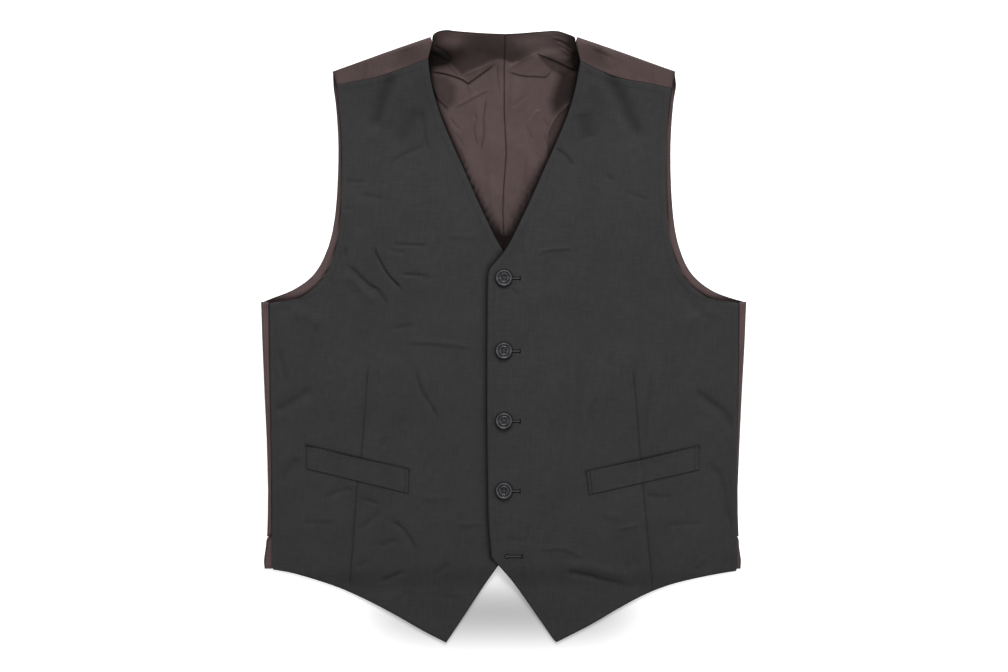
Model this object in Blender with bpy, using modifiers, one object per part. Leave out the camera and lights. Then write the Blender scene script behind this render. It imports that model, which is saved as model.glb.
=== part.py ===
"""A men's suit waistcoat laid flat on its back and buttoned.

+X runs towards the wearer's left, +Y towards the neck and +Z up from the surface it lies on.
The cloth pieces are thin walls that lie on each other: back, back lining, fronts, pocket welts, buttons.
Lengths in the tables are millimetres. "out" is the distance from the centre line, on either side.
"""

import math

import bmesh
import bpy
from mathutils import Matrix, Vector

MM = 0.001

# Cloth walls, and the gap that is left at a seam
BACK_CLOTH = 1.2
LINING_CLOTH = 1.0
FRONT_CLOTH = 2.2
WELT_CLOTH = 1.2
GAP = 0.3

# Lengths along the garment, measured on +Y from its middle
CENTRE_NECK_Y = 329.8
UNDERARM_Y = 37.8
VENT_Y = -224.0
BACK_HEM_SIDE_X = 260.7
BACK_HEM_SIDE_Y = -254.6
BACK_HEM_CENTRE_Y = -246.0

# The shoulder's fold, and the seam on it that joins front and back: ends, and what the line bends towards
NECK_END = (80.2, 326.9)
SHOULDER_BOW = (134.0, 309.3)
SHOULDER_POINT = (187.9, 289.9)
SEAM_NECK = (82.9, 301.0)
SEAM_BOWS = ((128.0, 278.9), (138.5, 283.4))
SEAM_OUTER = (182.8, 273.0)
SHOULDER_INWARD = Vector((-0.34, -0.94)).normalized()

# Armholes of the back and the fronts, and the neckline: where the curves meet, and what they bend towards
BACK_ARMHOLE_MIDDLE = (181.9, 182.0)
BACK_ARMHOLE_TOP_BOWS = ((188.7, 263.1), (178.4, 212.5))
BACK_ARMHOLE_LOW_BOWS = ((186.5, 111.9), (182.6, 58.6))
FRONT_ARMHOLE_MIDDLE = (176.2, 168.0)
FRONT_ARMHOLE_TOP_BOWS = ((175.6, 228.8), (175.1, 214.3))
FRONT_ARMHOLE_LOW_BOWS = ((176.1, 112.2), (182.5, 34.5))
BACK_NECK_BOWS = ((80.7, 344.9), (8.6, 326.1))
NECKLINE_BOWS = ((87.0, 267.9), (8.8, 91.6))
NECKLINE_END = (-15.3, 73.7)
VENT_BOW = (262.4, -245.0)
FRONT_HEM_CORNER = (252.8, -256.0)

# How far the lining ends inside the back's folds, and above its hem
LINING_INSET = {"shoulder": 0.8, "side": 1.4, "hem": 3.0}

# The side from the underarm to the vent: the garment's outline, and the seam that joins front and back
SIDE = [
    {"name": "underarm", "y": UNDERARM_Y, "outline": 265.6, "seam": 256.6},
    {"name": "ribs", "y": -16.0, "outline": 263.6, "seam": 256.3},
    {"name": "waist", "y": -106.0, "outline": 259.3, "seam": 255.2},
    {"name": "low_waist", "y": -140.0, "outline": 258.1, "seam": 254.5},
    {"name": "seat", "y": -180.0, "outline": 257.4, "seam": 254.0},
    {"name": "vent", "y": VENT_Y, "outline": 258.2, "seam": 254.2},
]

# Each front from the breast to its point: the two differ a little in how they lie
FRONTS = {
    "front_left": {
        "side": 1,
        "edge_bows": ((-21.0, -26.1), (-20.3, -142.5)),
        "edge_corner": (-13.1, -242.5),
        "point": (57.8, -335.4),
        "hem_bows": ((147.3, -273.0), (147.6, -290.6)),
    },
    "front_right": {
        "side": -1,
        "edge_bows": ((-18.5, -24.4), (-19.0, -123.8)),
        "edge_corner": (-14.6, -222.0),
        "point": (63.2, -335.4),
        "hem_bows": ((183.3, -262.3), (124.2, -305.1)),
    },
}

# Swells of the cloth: centre and reach of each, and its height
BACK_SWELLS = [
    {"name": "raised_neck", "x": 0.0, "y": 345.0, "reach_x": 150.0, "reach_y": 62.0, "height": 6.0},
]
LINING_SWELLS = [
    {"name": "fold_left", "x": 38.0, "y": 282.0, "reach_x": 40.0, "reach_y": 17.0, "height": 3.0},
    {"name": "fold_right", "x": -38.0, "y": 286.0, "reach_x": 44.0, "reach_y": 17.0, "height": 3.6},
]
FRONT_SWELLS = [
    {"name": "shoulder", "out": 88.0, "y": 325.0, "reach_x": 82.0, "reach_y": 130.0, "height": 8.5},
    {"name": "chest", "out": 118.0, "y": 120.0, "reach_x": 88.0, "reach_y": 120.0, "height": 2.6},
    {"name": "waist", "out": 135.0, "y": -55.0, "reach_x": 112.0, "reach_y": 60.0, "height": 1.6},
]

# Fall of the fronts from the back's hem to the surface, and the rise of the top front over the other
FALL_START = 7.0
FALL_LENGTH = 24.0
LAP_FLAT_X = 24.0
LAP_END_X = 56.0
LAP_TOP_Y = (175.0, 120.0)
LAP_BOTTOM_Y = (-322.0, -270.0)

# Pocket welts: corners (out, y) on each side, and how many strips along and across
WELTS = {
    "welt_left": {
        "side": 1,
        "inner_top": (90.2, -148.4),
        "inner_bottom": (92.6, -173.6),
        "outer_top": (213.2, -121.5),
        "outer_bottom": (213.5, -146.2),
    },
    "welt_right": {
        "side": -1,
        "inner_top": (104.0, -146.0),
        "inner_bottom": (104.9, -171.8),
        "outer_top": (214.8, -118.7),
        "outer_bottom": (215.4, -146.0),
    },
}

# Buttons down the centre, from the top
BUTTON_Y = [63.7, -15.9, -92.5, -168.8]
BUTTON_RADIUS = 8.7
BUTTON_THICKNESS = 3.2
BUTTON_WELL_RADIUS = 5.2
BUTTON_HOLE_RADIUS = 0.9
BUTTON_HOLE_OFFSET = 1.9
BUTTON_STEPS = 24

# Mesh rows down each panel and columns across it
ARMHOLE_ROWS = (5, 6)
SIDE_ROWS = 9
VENT_ROWS = 4
NECK_COLUMNS = 4
SHOULDER_COLUMNS = 7
FRONT_COLUMNS = 13
NECKLINE_ROWS = 10
FRONT_EDGE_ROWS = 8
FOLD_STEPS = 4
RETURN_STEPS = 2


# Plain curves in the plane, each a function of t from 0 to 1


def bezier(*points):
    """The Bezier curve through its first and last control points."""
    degree = len(points) - 1

    def at(t):
        weights = [math.comb(degree, i) * t**i * (1 - t) ** (degree - i) for i in range(degree + 1)]
        return tuple(sum(w * p[axis] for w, p in zip(weights, points)) for axis in (0, 1))

    return at


def line(start, end):
    return bezier(start, end)


def chain(*pieces):
    """Curves end to end. Each piece is (rows, curve), and takes its share of the rows."""
    total = sum(rows for rows, _ in pieces)

    def at(t):
        row = t * total
        for rows, curve in pieces[:-1]:
            if row <= rows + 1e-9:
                return curve(min(row / rows, 1.0))
            row -= rows
        rows, curve = pieces[-1]
        return curve(min(row / rows, 1.0))

    return at


def side_at(y, column):
    """The side table's column at that height, straight between its rows."""
    for upper, lower in zip(SIDE, SIDE[1:]):
        if y >= lower["y"]:
            share = (upper["y"] - y) / (upper["y"] - lower["y"])
            return upper[column] + share * (lower[column] - upper[column])
    return SIDE[-1][column]


def patch(top, bottom, outer, inner):
    """A Coons patch: (u, v) to the plane. u runs from the outer edge to the inner one, v from top to bottom."""
    corners = [top(0.0), top(1.0), bottom(0.0), bottom(1.0)]

    def at(u, v):
        rows, columns = (top(u), bottom(u)), (outer(v), inner(v))
        return tuple(
            (1 - v) * rows[0][axis]
            + v * rows[1][axis]
            + (1 - u) * columns[0][axis]
            + u * columns[1][axis]
            - (1 - u) * (1 - v) * corners[0][axis]
            - u * (1 - v) * corners[1][axis]
            - (1 - u) * v * corners[2][axis]
            - u * v * corners[3][axis]
            for axis in (0, 1)
        )

    return at


# Heights of the layers over the surface, in millimetres, as functions of x and y


def smooth(share):
    share = min(max(share, 0.0), 1.0)
    return share * share * (3 - 2 * share)


def swell(row, x, y):
    """A rounded rise that ends at its reach."""
    centre_x = row["x"] if "x" in row else math.copysign(row["out"], x)
    d = ((x - centre_x) / row["reach_x"]) ** 2 + ((y - row["y"]) / row["reach_y"]) ** 2
    return row["height"] * (1 - d) ** 2 if d < 1 else 0.0


def back_under(x, y):
    """Underside of the back."""
    return sum(swell(row, x, y) for row in BACK_SWELLS)


def lining_under(x, y):
    """Underside of the back's lining."""
    return back_under(x, y) + BACK_CLOTH + GAP + sum(swell(row, x, y) for row in LINING_SWELLS)


def back_hem_y(x):
    share = min(abs(x) / SIDE[-1]["outline"], 1.0)
    return BACK_HEM_CENTRE_Y + share * share * (BACK_HEM_SIDE_Y - BACK_HEM_CENTRE_Y)


def front_under(x, y):
    """Underside of the fronts: over the lining, and down to the surface past the back's hem."""
    over = lining_under(x, y) + LINING_CLOTH + GAP + sum(swell(row, x, y) for row in FRONT_SWELLS)
    past_hem = back_hem_y(x) - FALL_START - y
    return over * (1 - smooth(past_hem / FALL_LENGTH))


def lap(x, y):
    """How far the top front has risen onto the other, from 0 to 1."""
    across = smooth((LAP_END_X - x) / (LAP_END_X - LAP_FLAT_X))
    top = smooth((LAP_TOP_Y[0] - y) / (LAP_TOP_Y[0] - LAP_TOP_Y[1]))
    bottom = smooth((y - LAP_BOTTOM_Y[0]) / (LAP_BOTTOM_Y[1] - LAP_BOTTOM_Y[0]))
    return across * top * bottom


def top_front_under(x, y):
    return front_under(x, y) + lap(x, y) * (FRONT_CLOTH + GAP)


# The back's outline, on one side


def fold_radius(x, y):
    """Half the height between the back and the cloth that is folded over onto the fronts."""
    return (front_under(x, y) - back_under(x, y)) / 2


def shoulder_axis(t):
    """Axis of the shoulder's fold, from the neck at t = 0: the outline, moved in by the fold's outer radius."""
    x, y = bezier(NECK_END, SHOULDER_BOW, SHOULDER_POINT)(t)
    inward = (fold_radius(x, y - 3) + BACK_CLOTH / 2) * SHOULDER_INWARD
    return x + inward.x, y + inward.y


def side_axis(t):
    """Axis of the side's fold, from the underarm at t = 0."""
    y = UNDERARM_Y + t * (VENT_Y - UNDERARM_Y)
    outline = side_at(y, "outline")
    return outline - fold_radius(outline - 3, y) - BACK_CLOTH / 2, y


def back_outer():
    """Armhole, side and vent of the back, from the shoulder down."""
    shoulder, underarm, vent = shoulder_axis(1.0), side_axis(0.0), side_axis(1.0)
    return chain(
        (ARMHOLE_ROWS[0], bezier(shoulder, *BACK_ARMHOLE_TOP_BOWS, BACK_ARMHOLE_MIDDLE)),
        (ARMHOLE_ROWS[1], bezier(BACK_ARMHOLE_MIDDLE, *BACK_ARMHOLE_LOW_BOWS, underarm)),
        (SIDE_ROWS, side_axis),
        (VENT_ROWS, bezier(vent, VENT_BOW, (BACK_HEM_SIDE_X, BACK_HEM_SIDE_Y))),
    )


def back_neck(t):
    """Neck edge of the back, from the shoulder at t = 0 to the centre."""
    return bezier(shoulder_axis(0.0), *BACK_NECK_BOWS, (GAP / 2, CENTRE_NECK_Y))(t)


def back_top():
    return chain((SHOULDER_COLUMNS, lambda t: shoulder_axis(1 - t)), (NECK_COLUMNS, back_neck))


def back_bottom(t):
    x = BACK_HEM_SIDE_X + t * (GAP / 2 - BACK_HEM_SIDE_X)
    return x, back_hem_y(x) if t > 0 else BACK_HEM_SIDE_Y


def centre_back():
    x = GAP / 2
    stations = [CENTRE_NECK_Y, 200.0, 48.0, -214.0, BACK_HEM_CENTRE_Y]
    rows = [*ARMHOLE_ROWS, SIDE_ROWS, VENT_ROWS]
    return chain(*[(n, line((x, a), (x, b))) for n, a, b in zip(rows, stations, stations[1:])])


BACK_ROWS = sum(ARMHOLE_ROWS) + SIDE_ROWS + VENT_ROWS
BACK_COLUMNS = SHOULDER_COLUMNS + NECK_COLUMNS
BACK_PATCH = patch(back_top(), back_bottom, back_outer(), centre_back())


# Meshes


def add_grid(bm, columns, rows, place):
    """A grid of quads in bm, with place(u, v) giving each point in millimetres."""
    grid = bmesh.ops.create_grid(bm, x_segments=columns, y_segments=rows, size=0.5)
    for vert in grid["verts"]:
        vert.co = Vector(place(vert.co.x + 0.5, vert.co.y + 0.5)) * MM


def material(name, colour, roughness, metallic=0.0):
    made = bpy.data.materials.new(name)
    made.use_nodes = True
    shader = made.node_tree.nodes["Principled BSDF"]
    shader.inputs["Base Color"].default_value = (*colour, 1.0)
    shader.inputs["Roughness"].default_value = roughness
    shader.inputs["Metallic"].default_value = metallic
    return made


def new_object(name, bm, finish, side=1):
    """An object from bm. side -1 mirrors it to the wearer's right."""
    bmesh.ops.remove_doubles(bm, verts=bm.verts, dist=0.02 * MM)
    for vert in bm.verts:
        vert.co.x *= side
    bmesh.ops.recalc_face_normals(bm, faces=bm.faces)
    mesh = bpy.data.meshes.new(name)
    bm.to_mesh(mesh)
    bm.free()
    mesh.shade_smooth()
    mesh.materials.append(finish)
    made = bpy.data.objects.new(name, mesh)
    bpy.data.collections["suit_waistcoat"].objects.link(made)
    return made


def cloth_wall(thing, thickness):
    """Gives a sheet its thickness, half to each side."""
    wall = thing.modifiers.new("cloth", "SOLIDIFY")
    wall.thickness = thickness * MM
    wall.offset = 0.0
    wall.use_even_offset = True


def on_back(x, y):
    return x, y, back_under(x, y) + BACK_CLOTH / 2


def on_front(x, y):
    return x, y, front_under(x, y) + BACK_CLOTH / 2


def folded(axis, seam, outward):
    """A strip of the back's own cloth that turns over an edge and runs in to a seam on the fronts.

    axis(t) and seam(t) are points along the strip. Across it, u goes round the fold and then in to the seam."""
    steps = FOLD_STEPS + RETURN_STEPS

    def place(u, t):
        step = round(u * steps)
        x, y = axis(t)
        low, high = on_back(x, y)[2], on_front(x, y)[2]
        if step <= FOLD_STEPS:
            angle = math.pi * step / FOLD_STEPS
            out = (high - low) / 2 * math.sin(angle)
            level = (low + high) / 2 - (high - low) / 2 * math.cos(angle)
            return x + outward[0] * out, y + outward[1] * out, level
        share = (step - FOLD_STEPS) / RETURN_STEPS
        end_x, end_y = seam(t)
        return on_front(x + share * (end_x - x), y + share * (end_y - y))

    return steps, place


def shoulder_seam(t):
    """Back's edge of the seam on the shoulder, from the neck at t = 0, a gap away from the front's."""
    x, y = bezier(SEAM_NECK, *SEAM_BOWS, SEAM_OUTER)(t)
    return x - GAP * SHOULDER_INWARD.x, y - GAP * SHOULDER_INWARD.y


def side_seam(t):
    y = UNDERARM_Y + t * (VENT_Y - UNDERARM_Y)
    return side_at(y, "seam") + GAP, y


def back_panel(name, side, finish):
    """Half of the back, which turns over the shoulder and round the side onto the fronts."""
    bm = bmesh.new()
    add_grid(bm, BACK_COLUMNS, BACK_ROWS, lambda u, v: on_back(*BACK_PATCH(u, v)))
    steps, place = folded(shoulder_axis, shoulder_seam, -SHOULDER_INWARD)
    add_grid(bm, steps, SHOULDER_COLUMNS, place)
    steps, place = folded(side_axis, side_seam, (1.0, 0.0))
    add_grid(bm, steps, SIDE_ROWS, place)
    panel = new_object(name, bm, finish, side)
    cloth_wall(panel, BACK_CLOTH)


def lining_panel(name, side, finish):
    """Half of the back's lining. It ends inside the folds of the shoulder and side."""

    def place(u, v):
        x, y = BACK_PATCH(u, v)
        if v == 0.0 and u < SHOULDER_COLUMNS / BACK_COLUMNS:
            x += LINING_INSET["shoulder"] * SHOULDER_INWARD.x
            y += LINING_INSET["shoulder"] * SHOULDER_INWARD.y
        if u == 0.0 and y < UNDERARM_Y + 1:
            x -= LINING_INSET["side"]
        if v == 1.0:
            y += LINING_INSET["hem"]
        return x, y, lining_height(x, y)

    def lining_height(x, y):
        return lining_under(side * x, y) + LINING_CLOTH / 2

    bm = bmesh.new()
    add_grid(bm, BACK_COLUMNS, BACK_ROWS, place)
    cloth_wall(new_object(name, bm, finish, side), LINING_CLOTH)


def front_patch(front):
    """One front's outline: shoulder seam, armhole, side, hem, and neckline, front edge and cutaway."""
    corner, point = front["edge_corner"], front["point"]
    top = bezier(SEAM_OUTER, *reversed(SEAM_BOWS), SEAM_NECK)
    underarm = (SIDE[0]["seam"], UNDERARM_Y - 1.6)
    outer = chain(
        (ARMHOLE_ROWS[0], bezier(SEAM_OUTER, *FRONT_ARMHOLE_TOP_BOWS, FRONT_ARMHOLE_MIDDLE)),
        (ARMHOLE_ROWS[1], bezier(FRONT_ARMHOLE_MIDDLE, *FRONT_ARMHOLE_LOW_BOWS, underarm)),
        (SIDE_ROWS, lambda t: front_side(underarm[1] + t * (VENT_Y - underarm[1]))),
        (VENT_ROWS, line(front_side(VENT_Y), FRONT_HEM_CORNER)),
    )
    inner = chain(
        (NECKLINE_ROWS, bezier(SEAM_NECK, *NECKLINE_BOWS, NECKLINE_END)),
        (FRONT_EDGE_ROWS, bezier(NECKLINE_END, *front["edge_bows"], corner)),
        (BACK_ROWS - NECKLINE_ROWS - FRONT_EDGE_ROWS, line(corner, point)),
    )
    bottom = bezier(FRONT_HEM_CORNER, *front["hem_bows"], point)
    return patch(top, bottom, outer, inner)


def front_side(y):
    return side_at(y, "seam"), y


def front_panel(name, front, finish):
    under = top_front_under if front["side"] > 0 else front_under
    plan = front_patch(front)

    def place(u, v):
        x, y = plan(u, v)
        return x, y, under(front["side"] * x, y) + FRONT_CLOTH / 2

    bm = bmesh.new()
    add_grid(bm, FRONT_COLUMNS, BACK_ROWS, place)
    cloth_wall(new_object(name, bm, finish, front["side"]), FRONT_CLOTH)


def welt(name, row, finish):
    """The welt over a pocket mouth, laid on its front."""
    plan = patch(
        line(row["inner_top"], row["outer_top"]),
        line(row["inner_bottom"], row["outer_bottom"]),
        line(row["inner_top"], row["inner_bottom"]),
        line(row["outer_top"], row["outer_bottom"]),
    )

    def place(u, v):
        x, y = plan(u, v)
        return x, y, front_under(row["side"] * x, y) + FRONT_CLOTH + GAP + WELT_CLOTH / 2

    bm = bmesh.new()
    add_grid(bm, 10, 3, place)
    cloth_wall(new_object(name, bm, finish, row["side"]), WELT_CLOTH)


def sewing_holes():
    """The four holes of a button, as rods right through it."""
    bm = bmesh.new()
    for i in range(4):
        turn = math.radians(45 + 90 * i)
        middle = Vector((math.cos(turn), math.sin(turn), 0.0)) * BUTTON_HOLE_OFFSET * MM
        bmesh.ops.create_cone(
            bm,
            cap_ends=True,
            segments=8,
            radius1=BUTTON_HOLE_RADIUS * MM,
            radius2=BUTTON_HOLE_RADIUS * MM,
            depth=3 * BUTTON_THICKNESS * MM,
            matrix=Matrix.Translation(middle),
        )
    return bm


def button_mesh(finish):
    """A turned button with a rolled rim, a sunk well and four sewing holes."""
    half = BUTTON_THICKNESS / 2
    profile = [
        (0.0, half - 1.1),
        (BUTTON_WELL_RADIUS - 0.9, half - 1.1),
        (BUTTON_WELL_RADIUS, half - 0.5),
        (BUTTON_WELL_RADIUS + 0.9, half),
        (BUTTON_RADIUS - 1.2, half),
        (BUTTON_RADIUS - 0.3, half - 0.5),
        (BUTTON_RADIUS, 0.2),
        (BUTTON_RADIUS - 0.9, -half + 0.5),
        (BUTTON_RADIUS - 2.6, -half),
        (0.0, -half),
    ]
    mesh = bpy.data.meshes.new("button")
    edges = [(i, i + 1) for i in range(len(profile) - 1)]
    mesh.from_pydata([(r * MM, 0.0, z * MM) for r, z in profile], edges, [])
    mesh.materials.append(finish)
    turned = bpy.data.objects.new("button_blank", mesh)
    bpy.data.collections["suit_waistcoat"].objects.link(turned)
    screw = turned.modifiers.new("turn", "SCREW")
    screw.steps = screw.render_steps = BUTTON_STEPS
    screw.use_merge_vertices = True
    screw.merge_threshold = 0.00001
    cutter = new_object("hole_cutter", sewing_holes(), finish)
    hole = turned.modifiers.new("holes", "BOOLEAN")
    hole.operation = "DIFFERENCE"
    hole.object = cutter
    bpy.context.view_layer.update()
    graph = bpy.context.evaluated_depsgraph_get()
    finished = bpy.data.meshes.new_from_object(turned.evaluated_get(graph))
    bpy.data.objects.remove(turned)
    bpy.data.objects.remove(cutter)
    finished.set_sharp_from_angle(angle=math.radians(40))
    return finished


def buttons(finish):
    mesh = button_mesh(finish)
    for number, y in enumerate(BUTTON_Y, start=1):
        seat = max(top_front_under(x, y + dy) for x in (-8, 0, 8) for dy in (-8, 0, 8))
        button = bpy.data.objects.new(f"button_{number}", mesh)
        button.location = (0.0, y * MM, (seat + FRONT_CLOTH + GAP + BUTTON_THICKNESS / 2) * MM)
        bpy.data.collections["suit_waistcoat"].objects.link(button)


def main():
    for thing in list(bpy.data.objects):
        bpy.data.objects.remove(thing)
    bpy.context.scene.collection.children.link(bpy.data.collections.new("suit_waistcoat"))
    wool = material("charcoal_wool", (0.040, 0.040, 0.043), 0.85)
    satin = material("brown_satin", (0.098, 0.072, 0.070), 0.40)
    lining = material("brown_lining", (0.105, 0.076, 0.074), 0.45)
    plastic = material("charcoal_button", (0.035, 0.035, 0.038), 0.35)
    for name, side in (("left", 1), ("right", -1)):
        back_panel(f"back_{name}", side, satin)
        lining_panel(f"back_lining_{name}", side, lining)
    for name, front in FRONTS.items():
        front_panel(name, front, wool)
    for name, row in WELTS.items():
        welt(name, row, wool)
    buttons(plastic)


main()
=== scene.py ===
import math

import bpy
import numpy as np
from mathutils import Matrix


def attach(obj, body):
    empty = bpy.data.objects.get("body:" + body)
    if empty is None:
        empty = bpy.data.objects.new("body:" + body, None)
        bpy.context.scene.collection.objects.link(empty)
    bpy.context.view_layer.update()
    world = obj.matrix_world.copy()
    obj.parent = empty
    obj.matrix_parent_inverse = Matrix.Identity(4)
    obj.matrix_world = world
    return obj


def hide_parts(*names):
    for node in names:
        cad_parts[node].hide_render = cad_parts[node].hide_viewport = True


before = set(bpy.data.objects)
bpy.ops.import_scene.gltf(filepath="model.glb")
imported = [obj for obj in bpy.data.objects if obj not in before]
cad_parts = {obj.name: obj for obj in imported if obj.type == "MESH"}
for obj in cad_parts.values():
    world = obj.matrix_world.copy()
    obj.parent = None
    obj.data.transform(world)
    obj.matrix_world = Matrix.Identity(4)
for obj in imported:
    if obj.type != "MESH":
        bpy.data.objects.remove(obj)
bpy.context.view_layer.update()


# Smooth step: 3s^2 - 2s^3 between 0 and 1, flat outside
def smooth(s):
    s = np.clip(s, 0.0, 1.0)
    return s * s * (3 - 2 * s)


# Bell: exp(-(d / width)^2), 1 in the middle and nearly 0 two widths away
def bell(d, width):
    return np.exp(-((d / width) ** 2))


# Bezier curve: its points weighted by C(n, i) t^i (1 - t)^(n - i)
def bezier(points, t):
    t = np.asarray(t, float)[..., None]
    n = len(points) - 1
    return sum(
        math.comb(n, i) * t**i * (1 - t) ** (n - i) * np.array(p, float) for i, p in enumerate(points)
    )


# Curve through its points: a Catmull-Rom cubic on each stretch, t shared out by the stretches' lengths
def through(points, t):
    p = np.array(points, float)
    reach = np.r_[0.0, np.cumsum(np.hypot(*np.diff(p, axis=0).T))]
    p = np.vstack([2 * p[0] - p[1], p, 2 * p[-1] - p[-2]])
    at = np.asarray(t, float) * reach[-1]
    i = np.clip(np.searchsorted(reach, at, side="right") - 1, 0, len(reach) - 2)
    s = ((at - reach[i]) / (reach[i + 1] - reach[i]))[..., None]
    a, b, c, d = p[i], p[i + 1], p[i + 2], p[i + 3]
    return 0.5 * (2 * b + (c - a) * s + (2 * a - 5 * b + 4 * c - d) * s**2 + (3 * b - a - 3 * c + d) * s**3)


# Curves end to end: each has a share of t from 0 to 1
def joined(pieces, t):
    t = np.asarray(t, float)
    ends = np.cumsum([share for share, _ in pieces])
    out = np.zeros(t.shape + (2,))
    low = 0.0
    for end, (_, curve) in zip(ends / ends[-1], pieces):
        inside = (t >= low - 1e-12) & (t <= end + 1e-12)
        out[inside] = curve(np.clip((t[inside] - low) / (end - low), 0, 1))
        low = end
    return out


# Coons patch: the two pairs of facing edges blended, less the four corners blended
def patch(top, bottom, outer, inner, u, v):
    c00, c10 = top(np.array(0.0)), top(np.array(1.0))
    c01, c11 = bottom(np.array(0.0)), bottom(np.array(1.0))
    t, b, o, i = top(u), bottom(u), outer(v), inner(v)
    u, v = u[..., None], v[..., None]
    p = (1 - v) * t + v * b + (1 - u) * o + u * i
    p -= (1 - u) * (1 - v) * c00 + u * (1 - v) * c10 + (1 - u) * v * c01 + u * v * c11
    return p[..., 0], p[..., 1]


# Distance from each place to a line of points, which side of it, and how far along it, 0 to 1
def besideLine(x, y, points):
    p = np.array(points, float)
    step = np.hypot(*np.diff(p, axis=0).T)
    start = np.r_[0.0, np.cumsum(step)]
    near = np.full(x.shape, 1e9)
    side = np.zeros(x.shape)
    along = np.zeros(x.shape)
    for a, b, length, begun in zip(p, p[1:], step, start):
        dx, dy = (b - a) / length
        t = np.clip((x - a[0]) * dx + (y - a[1]) * dy, 0, length)
        away = np.hypot(x - a[0] - t * dx, y - a[1] - t * dy)
        closer = away < near
        near = np.where(closer, away, near)
        side = np.where(closer, np.sign(dx * (y - a[1]) - dy * (x - a[0])), side)
        along = np.where(closer, (begun + t) / start[-1], along)
    return near, side, along


# Parameter values from 0 to 1 through the corners, closer together at both ends so that a rim can round over
def spaced(corners, counts, rim):
    inner = [np.linspace(a, b, n, endpoint=False) for a, b, n in zip(corners, corners[1:], counts)]
    values = np.r_[np.concatenate(inner), 1.0]
    steps = np.array(rim)
    kept = values[((values > steps[-1] * 1.3) & (values < 1 - steps[-1] * 1.3)) | np.isin(values, (0.0, 1.0))]
    return np.unique(np.round(np.r_[kept, steps, 1 - steps], 9))


# Slow unevenness of cloth: sines crossing at odd angles, none of them a whole multiple of another
def uneven(x, y, size, seed):
    rng = np.random.default_rng(seed)
    total = np.zeros(np.shape(x))
    for _ in range(7):
        angle, phase = rng.uniform(0, math.pi), rng.uniform(0, 6.28)
        pitch = size * rng.uniform(0.7, 1.6)
        total += np.sin((x * math.cos(angle) + y * math.sin(angle)) * 6.28 / pitch + phase)
    return total / 4


# Creases: each is (height, width, lean, shade, line). Height falls off as exp(-(s/width)^2) across the line.
# A lean of 1 makes the fall steep on the line's left, -1 on its right. Both fade out at the line's ends.
def creased(x, y, creases):
    rise = np.zeros(x.shape)
    shade = np.zeros(x.shape)
    for height, width, lean, dark, line in creases:
        path = through(line, np.linspace(0, 1, 4 * len(line)))
        low, high = path.min(0) - 3 * width, path.max(0) + 3 * width
        here = (x > low[0]) & (x < high[0]) & (y > low[1]) & (y < high[1])
        if not here.any():
            continue
        near, side, along = besideLine(x[here], y[here], path)
        steep = 1 - 0.72 * np.clip(lean * side, 0, 1)
        fade = smooth(np.minimum(along, 1 - along) / 0.22)
        rise[here] += height * bell(near, width * steep) * fade
        shade[here] += dark * bell(near, 0.8 * width) * fade
    return rise, shade


# Flaps: each is (height, reach, shade, line). On the line's left the cloth slopes away as exp(-s/reach).
# On its right it drops at once onto the cloth below, which the flap's edge puts in shadow
def flapped(x, y, flaps):
    rise = np.zeros(x.shape)
    shade = np.zeros(x.shape)
    for height, reach, dark, line in flaps:
        path = through(line, np.linspace(0, 1, 5 * len(line)))
        low, high = path.min(0) - 4 * reach, path.max(0) + 4 * reach
        here = (x > low[0]) & (x < high[0]) & (y > low[1]) & (y < high[1])
        near, side, along = besideLine(x[here], y[here], path)
        fade = smooth(np.minimum(along, 1 - along) / 0.18)
        above = side > 0
        rise[here] += height * fade * np.where(above, np.exp(-near / reach), bell(near, 0.8))
        shade[here] += dark * fade * bell(near, np.where(above, 0.35, 1.2))
    return rise, shade


# Which places are inside an outline, with an edge that goes from 0 to 1 over a given width
def insideOf(x, y, outline, softness):
    p = np.array(outline, float)
    low, high = p.min(0) - softness, p.max(0) + softness
    here = (x > low[0]) & (x < high[0]) & (y > low[1]) & (y < high[1])
    share = np.zeros(x.shape)
    px, py = x[here], y[here]
    crossings = np.zeros(px.shape, int)
    for a, b in zip(p, np.roll(p, -1, axis=0)):
        spans = (a[1] > py) != (b[1] > py)
        reach = a[0] + (py - a[1]) * (b[0] - a[0]) / (b[1] - a[1] if b[1] != a[1] else 1e-9)
        crossings += spans & (px < reach)
    away = besideLine(px, py, np.vstack([p, p[:1]]))[0]
    share[here] = smooth(0.5 + np.where(crossings % 2 == 1, away, -away) / softness)
    return share


# Shade on cloth that lies under an edge: dark x exp(-(d/width)^2), with the width given at shares of the
# edge's length
def underEdge(x, y, edge, dark, shares, widths):
    near, _, along = besideLine(x, y, edge)
    return dark * bell(near, np.interp(along, shares, widths))


palette = {}  # filled below, one material for each finish


# A mesh object at the origin, from points in mm. Its tone goes on as a point attribute
def newPiece(name, points, faces, finishes, tone=None, facesOf=None):
    mesh = bpy.data.meshes.new(name)
    mesh.from_pydata((np.asarray(points) * 0.001).tolist(), [], faces)
    for finish in finishes:
        mesh.materials.append(palette[finish])
    if facesOf is not None:
        mesh.polygons.foreach_set("material_index", np.asarray(facesOf, dtype=np.int32))
    made = mesh.attributes.new("tone", "FLOAT", "POINT")
    values = np.ones(len(points)) if tone is None else tone
    made.data.foreach_set("value", np.asarray(values, dtype=np.float32))
    mesh.shade_smooth()
    mesh.update()
    thing = bpy.data.objects.new(name, mesh)
    bpy.context.scene.collection.objects.link(thing)
    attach(thing, "root")
    return thing


# Quads of a grid of indices, wound the other way round where flip is True
def quads(index, flip):
    a, b, c, d = index[:-1, :-1], index[:-1, 1:], index[1:, 1:], index[1:, :-1]
    four = (a, d, c, b) if flip else (a, b, c, d)
    return np.stack([f.ravel() for f in four], axis=1)


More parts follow.
